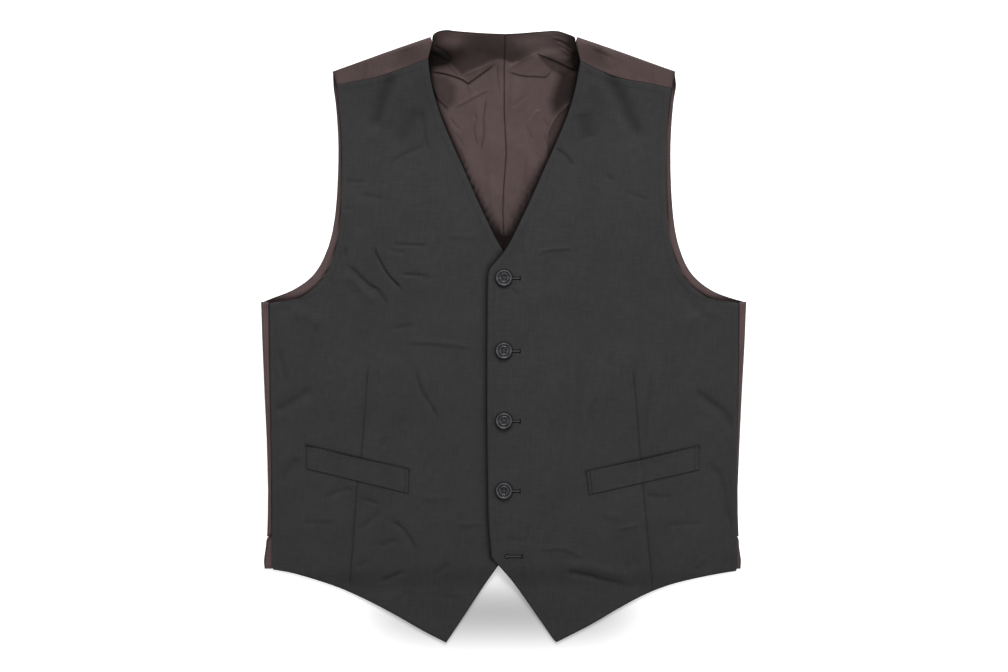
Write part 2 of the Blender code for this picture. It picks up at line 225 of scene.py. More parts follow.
# A sheet with a rounded rim. The lower grid shares the points round the edge and has the rim's first rows.
# Inside them it has only every step-th row and column, in faces that take in the rim's points where they meet
def clothShell(name, x, y, middle, half, finishes, tone, underTone=None, rim=5, step=3):
    rows, columns = x.shape
    top = np.arange(x.size).reshape(rows, columns)
    r = np.unique(np.r_[np.arange(rim, rows - 1 - rim, step), rows - 1 - rim])
    c = np.unique(np.r_[np.arange(rim, columns - 1 - rim, step), columns - 1 - rim])
    used = np.ones(x.shape, bool)
    used[rim + 1:-rim - 1, rim + 1:-rim - 1] = False
    used[np.ix_(r, c)] = True
    used[0] = used[-1] = used[:, 0] = used[:, -1] = False
    low = top.copy()
    low[used] = x.size + np.arange(used.sum())
    upper = np.stack([x, y, middle + half], axis=-1).reshape(-1, 3)
    lower = np.stack([x, y, middle - half], axis=-1)[used]
    dx, dy = x[rows // 2, columns // 2 + 1] - x[rows // 2, columns // 2], y[1, 0] - y[0, 0]
    flip = dx * dy < 0
    ring = np.ones((rows - 1, columns - 1), bool)
    ring[rim:-rim, rim:-rim] = False
    inner = low[np.ix_(r, c)]
    under = [quads(low, not flip)[ring.ravel()]]
    within = np.ones((len(r) - 1, len(c) - 1), bool)
    within[0] = within[-1] = within[:, 0] = within[:, -1] = False
    under.append(quads(inner, not flip)[within.ravel()])
    meeting = []
    for j, i in zip(*np.nonzero(~within)):
        r0, r1, c0, c1 = r[j], r[j + 1], c[i], c[i + 1]
        over = low[r0, c0:c1 + 1] if j == 0 else low[r0, [c0, c1]]
        right = low[r0:r1 + 1, c1] if i == len(c) - 2 else low[[r0, r1], c1]
        below = low[r1, c0:c1 + 1] if j == len(r) - 2 else low[r1, [c0, c1]]
        left = low[r0:r1 + 1, c0] if i == 0 else low[[r0, r1], c0]
        face = np.r_[over[:-1], right[:-1], below[::-1][:-1], left[::-1][:-1]].tolist()
        meeting.append(face if flip else face[::-1])
    faces = quads(top, flip).tolist()
    lowerFaces = np.vstack(under).tolist() + meeting
    which = [0] * len(faces) + [min(1, len(finishes) - 1)] * len(lowerFaces)
    tones = np.r_[tone.ravel(), tone[used] if underTone is None else np.full(used.sum(), underTone)]
    return newPiece(name, np.vstack([upper, lower]), faces + lowerFaces, finishes, tones, which)


# Distance from each grid point to the grid's own outline, worked out only near the rim
def toOutline(x, y, depth):
    ring = np.r_[
        np.stack([x[0], y[0]], 1), np.stack([x[:, -1], y[:, -1]], 1)[1:],
        np.stack([x[-1], y[-1]], 1)[::-1][1:], np.stack([x[:, 0], y[:, 0]], 1)[::-1][1:],
    ]
    near = np.full(x.shape, 99.0)
    band = np.zeros(x.shape, bool)
    band[:depth] = band[-depth:] = True
    band[:, :depth] = band[:, -depth:] = True
    near[band] = besideLine(x[band], y[band], ring)[0]
    return near


# Half the cloth's thickness near a rim: a quarter circle over the last millimetre or so
def rounded(near, thickness, over):
    s = 1 - np.clip(near / over, 0, 1)
    return thickness / 2 * np.sqrt(np.clip(1 - s * s, 0, 1))


# A round thread carried along a path, with its radius given at each point and both ends capped
def threadPoints(path, radius, sides):
    path = np.asarray(path, float)
    run = np.gradient(path, axis=0)
    run /= np.linalg.norm(run, axis=1)[:, None]
    across = np.cross(np.array([0.0, 0.0, 1.0]), run)
    across /= np.linalg.norm(across, axis=1)[:, None] + 1e-12
    lift = np.cross(run, across)
    turn = np.linspace(0, 2 * math.pi, sides, endpoint=False)
    r = np.broadcast_to(radius, len(path))[:, None, None]
    ring = across[:, None] * np.cos(turn)[None, :, None] + lift[:, None] * np.sin(turn)[None, :, None]
    points = (path[:, None] + r * ring).reshape(-1, 3)
    index = np.arange(len(points)).reshape(len(path), sides)
    index = np.c_[index, index[:, 0]]
    faces = quads(index, True).tolist()
    return points, faces + [index[0, :-1].tolist(), index[-1, :-1][::-1].tolist()]


# Several threads as one piece
def threads(name, strands, finish, tone=1.0):
    points, faces = [], []
    for path, radius, sides in strands:
        p, f = threadPoints(path, radius, sides)
        base = sum(len(q) for q in points)
        points.append(p)
        faces += [[i + base for i in face] for face in f]
    points = np.vstack(points)
    return newPiece(name, points, faces, [finish], np.full(len(points), tone))


# Two values combined by a maths node
def addMath(tree, operation, a, b=None):
    made = tree.nodes.new("ShaderNodeMath")
    made.operation = operation
    for socket, value in zip(made.inputs, (a, b)):
        if value is None:
            continue
        if isinstance(value, (int, float)):
            socket.default_value = value
        else:
            tree.links.new(value, socket)
    return made.outputs[0]


# Weighted sum of several values
def addSum(tree, *weighted):
    parts = [value if weight == 1 else addMath(tree, "MULTIPLY", value, weight) for value, weight in weighted]
    total = parts[0]
    for part in parts[1:]:
        total = addMath(tree, "ADD", total, part)
    return total


# Noise on Object coordinates, stretched by a scale for each axis
def addNoise(tree, scale, detail=2.0, roughness=0.5):
    where = tree.nodes.new("ShaderNodeTexCoord")
    stretch = tree.nodes.new("ShaderNodeMapping")
    stretch.inputs["Scale"].default_value = scale
    tree.links.new(where.outputs["Object"], stretch.inputs["Vector"])
    noise = tree.nodes.new("ShaderNodeTexNoise")
    noise.inputs["Scale"].default_value = 1.0
    noise.inputs["Detail"].default_value = detail
    noise.inputs["Roughness"].default_value = roughness
    tree.links.new(stretch.outputs[0], noise.inputs["Vector"])
    return noise.outputs["Fac"]


# Threads of the weave: bands across X and across Y, as far apart as pitch in metres
def addWeave(tree, pitch, slant):
    where = tree.nodes.new("ShaderNodeTexCoord")
    turned = tree.nodes.new("ShaderNodeMapping")
    turned.inputs["Rotation"].default_value = (0, 0, slant)
    tree.links.new(where.outputs["Object"], turned.inputs["Vector"])
    bands = []
    for direction in ("X", "Y"):
        wave = tree.nodes.new("ShaderNodeTexWave")
        wave.bands_direction = direction
        wave.inputs["Scale"].default_value = 0.314 / pitch
        wave.inputs["Distortion"].default_value = 0.6
        wave.inputs["Detail"].default_value = 1.0
        tree.links.new(turned.outputs[0], wave.inputs["Vector"])
        bands.append(wave.outputs["Fac"])
    return bands


# Colour between dark and light by a value, times the cloth's tone
def tonedColour(tree, value, dark, light):
    ramp = tree.nodes.new("ShaderNodeValToRGB")
    ramp.color_ramp.elements[0].position = 0.25
    ramp.color_ramp.elements[1].position = 0.75
    ramp.color_ramp.elements[0].color = (*dark, 1)
    ramp.color_ramp.elements[1].color = (*light, 1)
    tree.links.new(value, ramp.inputs[0])
    tone = tree.nodes.new("ShaderNodeAttribute")
    tone.attribute_name = "tone"
    product = tree.nodes.new("ShaderNodeVectorMath")
    product.operation = "SCALE"
    tree.links.new(ramp.outputs[0], product.inputs[0])
    tree.links.new(tone.outputs["Fac"], product.inputs["Scale"])
    return product.outputs[0]


# A principled material, with its sockets set by name
def newFinish(name, roughness, **sockets):
    made = bpy.data.materials.new(name)
    made.use_nodes = True
    shader = made.node_tree.nodes["Principled BSDF"]
    shader.inputs["Roughness"].default_value = roughness
    for key, value in sockets.items():
        shader.inputs[key.replace("_", " ")].default_value = value
    palette[name] = made
    return made.node_tree, shader


# A bump of the shader's normal, its distance in metres
def addBump(tree, shader, height, strength, distance):
    bump = tree.nodes.new("ShaderNodeBump")
    bump.inputs["Strength"].default_value = strength
    bump.inputs["Distance"].default_value = distance
    tree.links.new(height, bump.inputs["Height"])
    tree.links.new(bump.outputs[0], shader.inputs["Normal"])


wool = {
    "dark": (0.0122, 0.0122, 0.0132),
    "light": (0.0318, 0.0316, 0.0332),
    "thread": 0.00052,
}


# Worsted wool: fine crossed threads, and slubs of lighter and darker yarn that run up and across
def makeWool(name, look, turn=0.0):
    tree, shader = newFinish(name, 0.85, Sheen_Weight=0.06, Sheen_Roughness=0.5, Specular_IOR_Level=0.22)
    up = addNoise(tree, (950, 60, 200), 3.0, 0.6)
    across = addNoise(tree, (60, 950, 200), 3.0, 0.6)
    patches = addNoise(tree, (26, 20, 20), 2.0)
    fine = addNoise(tree, (1500, 1500, 600), 1.0)
    value = addSum(tree, (up, 0.36), (across, 0.34), (patches, 0.14), (fine, 0.16))
    tree.links.new(tonedColour(tree, value, look["dark"], look["light"]), shader.inputs["Base Color"])
    warp, weft = addWeave(tree, look["thread"], turn)
    weave = addSum(tree, (warp, weft), (value, 1.2))
    addBump(tree, shader, weave, 0.35, 0.00012)


satin = {"dark": (0.0465, 0.0326, 0.0318), "light": (0.0668, 0.0474, 0.0464), "thread": 0.0003}
lining = {"dark": (0.0518, 0.0362, 0.0356), "light": (0.0710, 0.0502, 0.0495), "thread": 0.0003}


# Satin: long smooth floats that run up the cloth, so its gloss is stretched across them
def makeSatin(name, look, roughness):
    tree, shader = newFinish(
        name, roughness, Sheen_Weight=0.02, Sheen_Roughness=0.4, Specular_IOR_Level=0.10, Anisotropic=0.35,
        Specular_Tint=(0.85, 0.66, 0.64, 1),
    )
    floats = addNoise(tree, (1400, 90, 300), 2.0)
    patches = addNoise(tree, (35, 28, 30), 2.0)
    value = addSum(tree, (floats, 0.6), (patches, 0.4))
    tree.links.new(tonedColour(tree, value, look["dark"], look["light"]), shader.inputs["Base Color"])
    warp, weft = addWeave(tree, look["thread"], 0.0)
    addBump(tree, shader, addSum(tree, (warp, 0.7), (weft, 0.2), (floats, 1)), 0.18, 0.00008)


makeWool("charcoalWool", wool)
makeSatin("brownSatin", satin, 0.42)
makeSatin("brownLining", lining, 0.46)


# Buttons: dark polished plastic, clouded like horn, and scuffed a little
def makeButtonFinish():
    tree, shader = newFinish(
        "charcoalButton", 0.3, Specular_IOR_Level=0.30, Coat_Weight=0.08, Coat_Roughness=0.2
    )
    cloud = addNoise(tree, (160, 160, 160), 4.0)
    tree.links.new(
        tonedColour(tree, cloud, (0.007, 0.007, 0.008), (0.016, 0.016, 0.018)), shader.inputs["Base Color"]
    )
    scuff = addNoise(tree, (1200, 1200, 1200), 3.0)
    rough = addMath(tree, "ADD", addMath(tree, "MULTIPLY", scuff, 0.22), 0.2)
    tree.links.new(rough, shader.inputs["Roughness"])
    addBump(tree, shader, scuff, 0.12, 0.00005)


# Sewing thread: dark and dull, with its twist as a fine bump
def makeThreadFinish(name, dark, light, gloss=0.3):
    tree, shader = newFinish(name, 0.75, Sheen_Weight=gloss * 0.6, Specular_IOR_Level=gloss)
    fibre = addNoise(tree, (2500, 2500, 2500), 2.0)
    tree.links.new(tonedColour(tree, fibre, dark, light), shader.inputs["Base Color"])
    addBump(tree, shader, fibre, 0.3, 0.00008)


makeButtonFinish()
makeThreadFinish("charcoalThread", (0.018, 0.018, 0.020), (0.034, 0.034, 0.037))
makeThreadFinish("shadowThread", (0.001, 0.001, 0.001), (0.003, 0.003, 0.003), 0.0)
print("finishes made:", ", ".join(palette))


layers = {
    "backThickness": 0.8,
    "liningThickness": 0.6,
    "frontThickness": 1.9,
    "backLift": 0.05,  # the back's underside above the floor
    "liningAt": 1.9,  # height of the lining's middle, and of the fronts' underside
    "frontAt": 3.1,
    "frontLift": 0.15,
    "backHem": (-246.0, -254.6),  # height of the hem at the centre and at the side
    "backHalf": 257.0,  # half the back's width at its hem
    "fall": (4.0, 26.0),  # how far past the hem the fronts start to drop, and over what length
    "lapFlat": 22.0,  # the upper front is fully raised up to here from the centre
    "lapEnd": 52.0,  # and lies at its own height from here
    "lapRise": 2.5,
}

# Rounded rises: (out or x, y, reach across, reach along, height)
backSwells = [(0, 345, 150, 62, 6.0)]
frontSwells = [(88, 325, 82, 130, 8.5), (118, 120, 88, 120, 2.6), (135, -55, 112, 60, 1.6)]


# A rounded rise: height x (1 - d^2)^2 inside its reach
def swell(x, y, rows):
    total = np.zeros(np.broadcast(x, y).shape)
    for cx, cy, rx, ry, height in rows:
        d = ((x - cx) / rx) ** 2 + ((y - cy) / ry) ** 2
        total += height * np.clip(1 - d, 0, 1) ** 2
    return total


# Middle height of the back's cloth
def backMiddle(x, y):
    return swell(x, y, backSwells) + layers["backThickness"] / 2 + layers["backLift"]


# Hem of the back: it drops from the centre to the side as (out / half width)^2
def backHemY(out):
    centre, side = layers["backHem"]
    return centre + np.clip(np.abs(out) / layers["backHalf"], 0, 1) ** 2 * (side - centre)


# Underside of the fronts: over the back and its lining, and down to the floor past the back's hem
def frontUnder(x, y):
    over = swell(x, y, backSwells) + layers["frontAt"] + swell(np.abs(x), y, frontSwells)
    start, length = layers["fall"]
    return over * (1 - smooth((backHemY(x) - start - y) / length))


# The wearer's left front rises onto the other one near the centre
def lapRise(x, y):
    across = smooth((layers["lapEnd"] - x) / (layers["lapEnd"] - layers["lapFlat"]))
    return layers["lapRise"] * across * smooth((165 - y) / 50) * smooth((y + 312) / 50)


# Outlines by (out, y). The two fronts share their armholes and neckline, and differ a little lower down
frontCut = {
    "armholeTop": [(180.8, 252), (177.9, 225), (177.2, 195), (177.3, 168)],
    "armholeLow": [(177.3, 168), (178.8, 128), (183.4, 97), (193.5, 70), (208.5, 52), (228, 40), (256.7, 36)],
    "neckline": [
        (80.9, 286), (77.2, 267.3), (69.6, 242.2), (57.3, 212.4), (43.9, 182.6), (32.6, 156.8), (21.3, 132.3),
        (3.3, 97), (-15.3, 73.7),
    ],
    "rows": [46, 54, 92, 26],  # armhole top and low, side, vent
    "fineness": 1.75,  # rows of the mesh for each of those
    "columns": 190,
    "rim": 1.3,
    "edgeRidge": 0.28,
    "unevenness": 0.3,
    "creaseDepth": 1.95,
    "creaseShade": 2.1,
}
frontLook = {
    "left": {
        "side": 1,
        "shoulderSeam": [(183, 271), (160, 276), (140, 279.2), (122.5, 283), (105, 289.5), (83.3, 299.6)],
        "sideEdge": [(256.7, 36), (256.6, -16), (255.6, -106), (254.8, -150), (254.9, -200), (255.4, -222)],
        "vent": [(255.4, -222), (255.8, -240), (255.5, -252), (253.6, -256.8)],
        "hem": [
            (253.6, -256.8), (238, -259.2), (210, -264.8), (181, -272.4), (153, -283.5), (124, -299),
            (95, -316),
        ],
        "edge": [(-15.3, 73.7), (-17.4, 62), (-18, 20), (-18.2, -87), (-16.8, -196.6), (-13.4, -241)],
        "cutaway": [
            (-13.4, -241), (-11.2, -244.4), (10.4, -269.6), (38.9, -310), (53, -330.4), (57.6, -335.2),
        ],
    },
    "right": {
        "side": -1,
        "shoulderSeam": [
            (182.6, 275), (156.5, 279.8), (140, 282.8), (123.7, 287.5), (107.4, 293), (82.5, 302.4),
        ],
        "sideEdge": [(256.7, 36), (256.2, -16), (255, -106), (254.2, -150), (254, -200), (254, -222)],
        "vent": [(254, -222), (254, -240), (253.9, -251), (252.2, -255.2)],
        "hem": [
            (252.2, -255.2), (231.6, -259), (203, -267.4), (175, -277.6), (146, -291), (118, -305.8),
            (89, -322.4),
        ],
        "edge": [(-15.3, 73.7), (-17, 62), (-17, 20), (-17, -87), (-17, -190), (-15.6, -221)],
        "cutaway": [(-15.6, -221), (-12, -226), (18, -267.6), (46.5, -310.6), (60.8, -332), (63.4, -335.6)],
    },
}

# Creases that the left front shows, by its x and y: (height, width, lean, shade, line)
leftCreases = [
    (-1.4, 8, 0, 0.17, [(109, 292), (128, 261), (142, 230), (155, 212)]),
    (0.7, 9, 0, -0.03, [(96, 288), (113, 258), (126, 232), (138, 214)]),
    (-0.6, 11, 0, 0.13, [(84, 246), (90, 228), (94, 212)]),
    (-0.8, 2.4, -1, 0.16, [(54, 205), (62, 201), (69, 195), (77, 184)]),
    (-0.4, 2.6, 0, 0.07, [(110, 176), (121, 170)]),
    (-0.4, 2.4, 0, 0.07, [(131, 158), (146, 153), (159, 148)]),
    (0.5, 3.2, -1, 0.02, [(35, 90), (51, 94), (77, 96)]),
    (-0.4, 2.4, 0, 0.08, [(7, 53), (18, 44)]),
    (-0.45, 3.5, 1, 0.05, [(164, -32), (160, -52), (157, -80), (153, -124)]),
    (0.55, 6, 0, -0.02, [(77, -6), (73, -37), (73, -52), (68, -177)]),
    (-0.4, 5, 0, 0.03, [(85, -20), (81, -60), (78, -150)]),
    (-0.45, 3, 0, 0.06, [(121, -17), (113, -34)]),
    (-0.45, 3, 0, 0.06, [(103, -65), (94, -83), (92, -94)]),
    (-0.4, 3, 0, 0.05, [(55, -89), (51, -109)]),
    (-0.8, 6, 0.5, 0.05, [(204, -56), (228, -74), (243, -87), (249, -109)]),
    (-0.7, 5, 0.4, 0.05, [(219, -140), (236, -153), (243, -190), (250, -214)]),
    (0.4, 3, -0.6, 0.02, [(123, -212), (149, -206)]),
    (-0.4, 2.2, 0, 0.06, [(175, -207), (219, -204)]),
    (-0.8, 4.2, 0.8, 0.045, [(64, -257), (92, -261), (109, -267), (144, -277)]),
    (0.6, 6, 0, -0.02, [(60, -250), (92, -252), (118, -259), (146, -268)]),
    (0.45, 3.6, -0.7, 0.03, [(37, -234), (63, -232), (79, -238), (90, -244)]),
    (-0.35, 2.4, 0, 0.05, [(0, -221), (26, -224)]),
    (-0.5, 6, 0, 0.03, [(130, -255), (149, -245)]),
    (0.3, 3.5, 0, 0.02, [(105, -194), (131, -199)]),
    (-0.45, 2.6, 0, 0.06, [(153, -175), (184, -176)]),
    (0.5, 4, 0.5, 0.02, [(208, -253), (221, -240)]),
    (-0.3, 1.8, 0, 0.08, [(22, -247), (20, -270)]),
    (-0.3, 1.8, 0, 0.05, [(23, -194), (26, -225)]),
    (0.5, 7, 0, 0.0, [(196, 10), (214, 22), (238, 26)]),
    (-0.5, 6, 0, 0.03, [(190, 66), (205, 36), (232, 12)]),
    (0.5, 9, 0, 0.0, [(24, 30), (46, 44), (70, 40)]),
]

# Creases that the right front shows, by its own x and y
rightCreases = [
    (-1.3, 7.5, 0, 0.17, [(-119, 290), (-132, 262), (-144.5, 222)]),
    (0.7, 8, 0, -0.02, [(-105, 290), (-118, 262), (-130, 226)]),
    (-0.55, 10, 0, 0.11, [(-92, 250), (-110, 221), (-121, 212)]),
    (-0.45, 2.4, -0.5, 0.09, [(-90, 252), (-85, 212), (-79, 199)]),
    (-0.45, 2.4, 0, 0.08, [(-85, 209), (-112, 197), (-126, 186)]),
    (-0.4, 2.2, 0, 0.07, [(-175, 169), (-148, 169)]),
    (-0.4, 2.4, 0, 0.06, [(-157, 155), (-130, 150)]),
    (-0.4, 2.2, 0, 0.05, [(-175, 139), (-163, 139)]),
    (-0.5, 2.4, 0.6, 0.09, [(-123, 101), (-82, 99)]),
    (-0.4, 2.2, 0, 0.06, [(-128, 95), (-106, 90)]),
    (-0.9, 2.0, 1, 0.17, [(-144, 102), (-137, 86), (-126, 67), (-113, 53), (-112, 44)]),
    (-0.9, 2.1, -1, 0.17, [(-177, 79), (-166, 73), (-148, 56), (-137, 49), (-124, 29)]),
    (0.7, 5, 0, -0.03, [(-182, 66), (-166, 62), (-150, 46), (-138, 34)]),
    (-0.5, 2.2, 0, 0.09, [(-172, 97), (-175, 86)]),
    (-0.5, 2.4, 0.6, 0.08, [(-112, 68), (-82, 66)]),
    (-0.35, 2.2, 0, 0.06, [(-90, 61), (-79, 65)]),
    (-0.45, 2.6, 0, 0.06, [(-124, 8), (-97, 12)]),
    (0.5, 3.4, -0.8, 0.04, [(-112, -6), (-72, -8), (-30, -13)]),
    (0.3, 3, 0, 0.02, [(-64, 109), (-28, 109)]),
    (-0.4, 2.6, 0, 0.06, [(-140, -37), (-136, -56)]),
    (-0.8, 6, 0.4, 0.05, [(-253, -85), (-221, -65), (-208, -54)]),
    (-0.7, 5.5, 0.3, 0.05, [(-245, -164), (-232, -142), (-223, -133)]),
    (-0.5, 3.4, 0, 0.06, [(-246, -10), (-241, -37), (-239, -54)]),
    (-0.4, 3, 0, 0.04, [(-189, -80), (-189, -98)]),
    (-0.7, 3.2, 0.7, 0.08, [(-99, -32), (-90, -59), (-77, -80), (-70, -96)]),
    (-0.4, 2.6, 0, 0.06, [(-136, -122), (-129, -111)]),
    (-0.5, 2.4, 0, 0.08, [(-199, -177), (-177, -169), (-162, -168)]),
    (-0.5, 2.2, 0.6, 0.09, [(-158, -177), (-147, -180), (-136, -183)]),
    (-0.5, 3, 0, 0.06, [(-162, -214), (-147, -203), (-134, -190)]),
    (-0.45, 2.4, 0, 0.06, [(-221, -204), (-184, -205)]),
    (-0.7, 3.2, 0.8, 0.08, [(-125, -200), (-109, -212), (-94, -236)]),
    (0.3, 3, 0, 0.02, [(-94, -178), (-55, -176)]),
    (0.35, 3, -0.6, 0.03, [(-53, -207), (-22, -205)]),
    (-0.5, 2.8, 0, 0.07, [(-138, -229), (-114, -223)]),
    (-0.4, 3, 0, 0.05, [(-162, -253), (-147, -245)]),
    (-0.6, 3, 0.6, 0.08, [(-136, -269), (-107, -256)]),
    (-0.5, 3, 0.4, 0.07, [(-125, -293), (-99, -275)]),
    (-0.45, 3, 0, 0.06, [(-77, -262), (-59, -247)]),
    (-0.4, 3, 0, 0.06, [(-81, -282), (-50, -287)]),
    (0.5, 8, 0, 0.0, [(-196, 10), (-214, 22), (-238, 26)]),
]

# Darts: a seam that pulls the cloth into a narrow trough, above and below the pocket
darts = {
    "left": [(140.8, -35.6), (145.2, -80.5), (148.9, -132), (151.8, -164.8), (155.5, -200.9), (162.6, -274)],
    "right": [(148.3, -33.4), (152.2, -80.5), (156.1, -132), (161, -165.9), (164.3, -211.9), (168.6, -272)],
}


# How far a dart's seam is from each place, and how deep it pulls there
def dartPull(out, y, which):
    line = np.array(darts[which], float)
    seamX = np.interp(-y, -line[:, 1], line[:, 0])
    lengthwise = smooth((line[0, 1] + 6 - y) / 20) * smooth((y - line[-1, 1] + 8) / 12)
    return np.abs(out - seamX), lengthwise


# The dark line of a dart's seam, and the soft shade beside it
def dartShade(away, pull):
    return pull * (0.45 * bell(away, 0.75) + 0.06 * bell(away, 3.5))


# Middle height of a front and its tone, by out and y. Every piece that lies on it uses this too
def frontMiddle(which, out, y):
    side = frontLook[which]["side"]
    x = side * out
    rise, shade = creased(x, y, leftCreases if which == "left" else rightCreases)
    rise, shade = rise * frontCut["creaseDepth"], shade * frontCut["creaseShade"]
    away, pull = dartPull(out, y, which)
    low = frontUnder(x, y)
    if which == "left":
        low = low + lapRise(x, y)
    calm = 0.35 + 0.65 * smooth((out + 20) / 60)
    rise = rise + frontCut["unevenness"] * uneven(x, y, 74, 5 if side > 0 else 8) * calm
    rise = rise + 0.07 * uneven(x, y, 19, 11) * calm
    rise = rise - 0.55 * pull * bell(away, 3.2) - 0.35 * pull * bell(away, 0.9)
    shade = shade + dartShade(away, pull)
    settled = smooth((y + 336) / 40) * 0.7 + 0.3
    shade = shade + 0.03 * uneven(x, y, 33, 14) + 0.03 * uneven(x, y, 12, 27)
    seat = layers["frontThickness"] / 2 + layers["frontLift"]
    return low + seat + np.maximum(rise * settled, -low), 1 - shade


panel = {"width": 250, "length": 600}  # about a panel's size, to turn millimetres into shares of a grid


# Grid of a front: the columns are drawn together at the dart so that its seam follows one of them
def frontGrid(which):
    cut, look = frontCut, frontLook[which]
    shares = cut["rows"]
    total = sum(shares)
    necklineRows, edgeRows = 96, 84
    corners = np.unique(np.r_[0, np.cumsum(shares), necklineRows, necklineRows + edgeRows]) / total
    counts = np.round(np.diff(corners) * total * cut["fineness"]).astype(int)
    rim = np.array([0.0, 0.12, 0.35, 0.75, 1.3, 2.1, 3.1, 4.4])
    v = spaced(corners, counts, rim / panel["length"])
    u = spaced([0, 1], [cut["columns"]], rim / panel["width"])
    beside = np.array([0.4, 0.8, 1.25, 1.9, 2.8, 4.2])
    middle = np.r_[-beside[::-1], 0, beside] / panel["width"]
    knot = 0.42  # share across the front at which the columns gather to follow the dart
    u = np.unique(np.r_[u[np.abs(u - knot) > 0.02], knot + middle])
    seam = look["shoulderSeam"]
    top = lambda t: through(seam, t)
    outer = lambda t: joined([
        (shares[0], lambda s: through([seam[0]] + cut["armholeTop"], s)),
        (shares[1], lambda s: through(cut["armholeLow"], s)),
        (shares[2], lambda s: through(look["sideEdge"], s)),
        (shares[3], lambda s: through(look["vent"], s)),
    ], t)
    inner = lambda t: joined([
        (necklineRows, lambda s: through([seam[-1]] + cut["neckline"], s)),
        (edgeRows, lambda s: through(look["edge"], s)),
        (total - necklineRows - edgeRows, lambda s: through(look["cutaway"], s)),
    ], t)
    bottom = lambda t: through(look["hem"] + [look["cutaway"][-1]], t)
    line = np.array(darts[which], float)
    trial = np.linspace(0.2, 0.75, 120)
    uu, vv = np.meshgrid(trial, v)
    tx, ty = patch(top, bottom, outer, inner, uu, vv)
    miss = np.abs(tx - np.interp(-ty, -line[:, 1], line[:, 0]))
    found = trial[miss.argmin(axis=1)]
    reached = ty[np.arange(len(v)), miss.argmin(axis=1)]
    first = np.argmax(reached < line[0, 1] + 25)
    found[:first] = found[first]
    weights = np.hanning(9) / np.hanning(9).sum()
    found = np.convolve(np.pad(found, 4, mode="edge"), weights, mode="valid")
    found = found[:, None]
    across = np.where(u < knot, u / knot * found, 1 - (1 - u) / (1 - knot) * (1 - found))
    return patch(top, bottom, outer, inner, across, np.broadcast_to(v[:, None], across.shape))


welts = {
    "thickness": 0.9,
    "stitches": [(3.6, 1.0), (121.5, 0.6)],  # rows that hold the ends: how far along, and how strong
    "free": (0.45, 5),  # how far the top edge stands off, and how far down that fades
    "left": {
        "corners": [(90.2, -148.4), (213.0, -120.6), (213.4, -146.0), (93.4, -173.4)],
        "node": "welt_left",
        "kink": 0.0,
    },
    "right": {
        "corners": [(104.4, -146.1), (215.6, -119.6), (215.6, -144.8), (105.0, -171.9)],
        "node": "welt_right",
        "kink": 1.6,
    },
}

button = {
    "at": [63.7, -15.9, -92.5, -168.8],
    "radius": 8.75,
    "holes": (1.95, 0.95),  # how far from the middle, and radius
    # turned profile from the middle of the top, over the rings and the rim, to the middle of the underside
    "profile": [
        (0, 2.0), (1, 2.0), (2, 2.0), (3.2, 2.02), (3.75, 2.2), (4.2, 2.62), (4.6, 2.78), (5.0, 2.62),
        (5.4, 2.2), (5.9, 2.05), (6.5, 2.2), (7.0, 2.75), (7.5, 3.1), (7.95, 3.15), (8.4, 2.85), (8.68, 2.3),
        (8.75, 1.75), (8.6, 1.1), (8.1, 0.6), (7.0, 0.3), (5.0, 0.12), (2.5, 0.05), (0, 0.0),
    ],
    "lean": [(0.02, 0.03), (-0.03, 0.01), (0.01, -0.03), (0.03, 0.02)],
    "turn": [8, -14, 20, 3],
    "around": 128,
    "topRows": 45,  # the first of the profile's rows, those that the holes are sunk in
    "depth": 1.7,
    # painted highlight on the rim and the inner ring, painted shade in the groove between: (radius, width,
    # gain)
    "paintedRings": [(7.7, 0.75, 4.2), (4.6, 0.6, 2.4), (6.1, 0.8, -0.75)],
}

# Shade on the wool beside what lies on it: how dark, and how wide (for the lap at shares of its length)
contact = {
    "lap": (0.88, [0, 0.08, 0.3, 1], [3.8, 3.4, 3.2, 3.0]),
    "lapWide": (0.30, [0, 1], [7.0, 6.0]),
    "button": (0.85, 1.5),
    "welt": [(0.97, 1.9), (0.35, 1.0), (0.0, 1.0), (0.5, 1.1)],  # top, outer end, bottom, inner end
    # how much darker the points and the shoulders are, from which height, and over what length that grows
    "low": (0.07, -190, 90),
    "high": (0.12, 215, 60),
}


# The wool's tone where other pieces shade it, and its slow change from the shoulders to the points
def toneOfPlace(which, out, y):
    (low, lowY, lowReach), (high, highY, highReach) = contact["low"], contact["high"]
    tone = 1 - low * smooth((lowY - y) / lowReach) - high * smooth((y - highY) / highReach)
    corners = welts[which]["corners"]
    for (dark, width), a, b in zip(contact["welt"], corners, corners[1:] + corners[:1]):
        tone = tone * (1 - dark * bell(besideLine(out, y, [a, b])[0], width))
    if which == "left":
        dark, width = contact["button"]
        for height in button["at"]:
            past = np.maximum(np.hypot(out, y - height) - button["radius"], 0)
            tone = tone * (1 - dark * bell(past, width))
    else:
        edge = [frontCut["neckline"][-2]] + frontLook["left"]["edge"]
        for name in ("lap", "lapWide"):
            tone = tone * (1 - underEdge(-out, y, edge, *contact[name]))
    return tone


fronts = {}
for which, name, node in (("left", "frontLeft", "front_left"), ("right", "frontRight", "front_right")):
    out, y = frontGrid(which)
    near = toOutline(out, y, 20)
    middle, tone = frontMiddle(which, out, y)
    half = rounded(near, layers["frontThickness"], frontCut["rim"])
    half = half + frontCut["edgeRidge"] * smooth(near / 1.5) * (1 - smooth((near - 5.5) / 2.2))
    # Tone: a faint dark line 7 mm inside the edge, and painted shade on the rim where the cloth rounds away
    tone = tone * (1 - 0.08 * bell(near - 7, 0.9)) * (1 - 0.35 * bell(near, 0.7))
    tone = tone * toneOfPlace(which, out, y)
    piece = clothShell(
        name, frontLook[which]["side"] * out, y, middle, half, ["charcoalWool", "brownLining"], tone, 0.8
    )
    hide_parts(node)
    fronts[which] = piece
    print(name, "cut and laid,", len(piece.data.polygons), "faces")


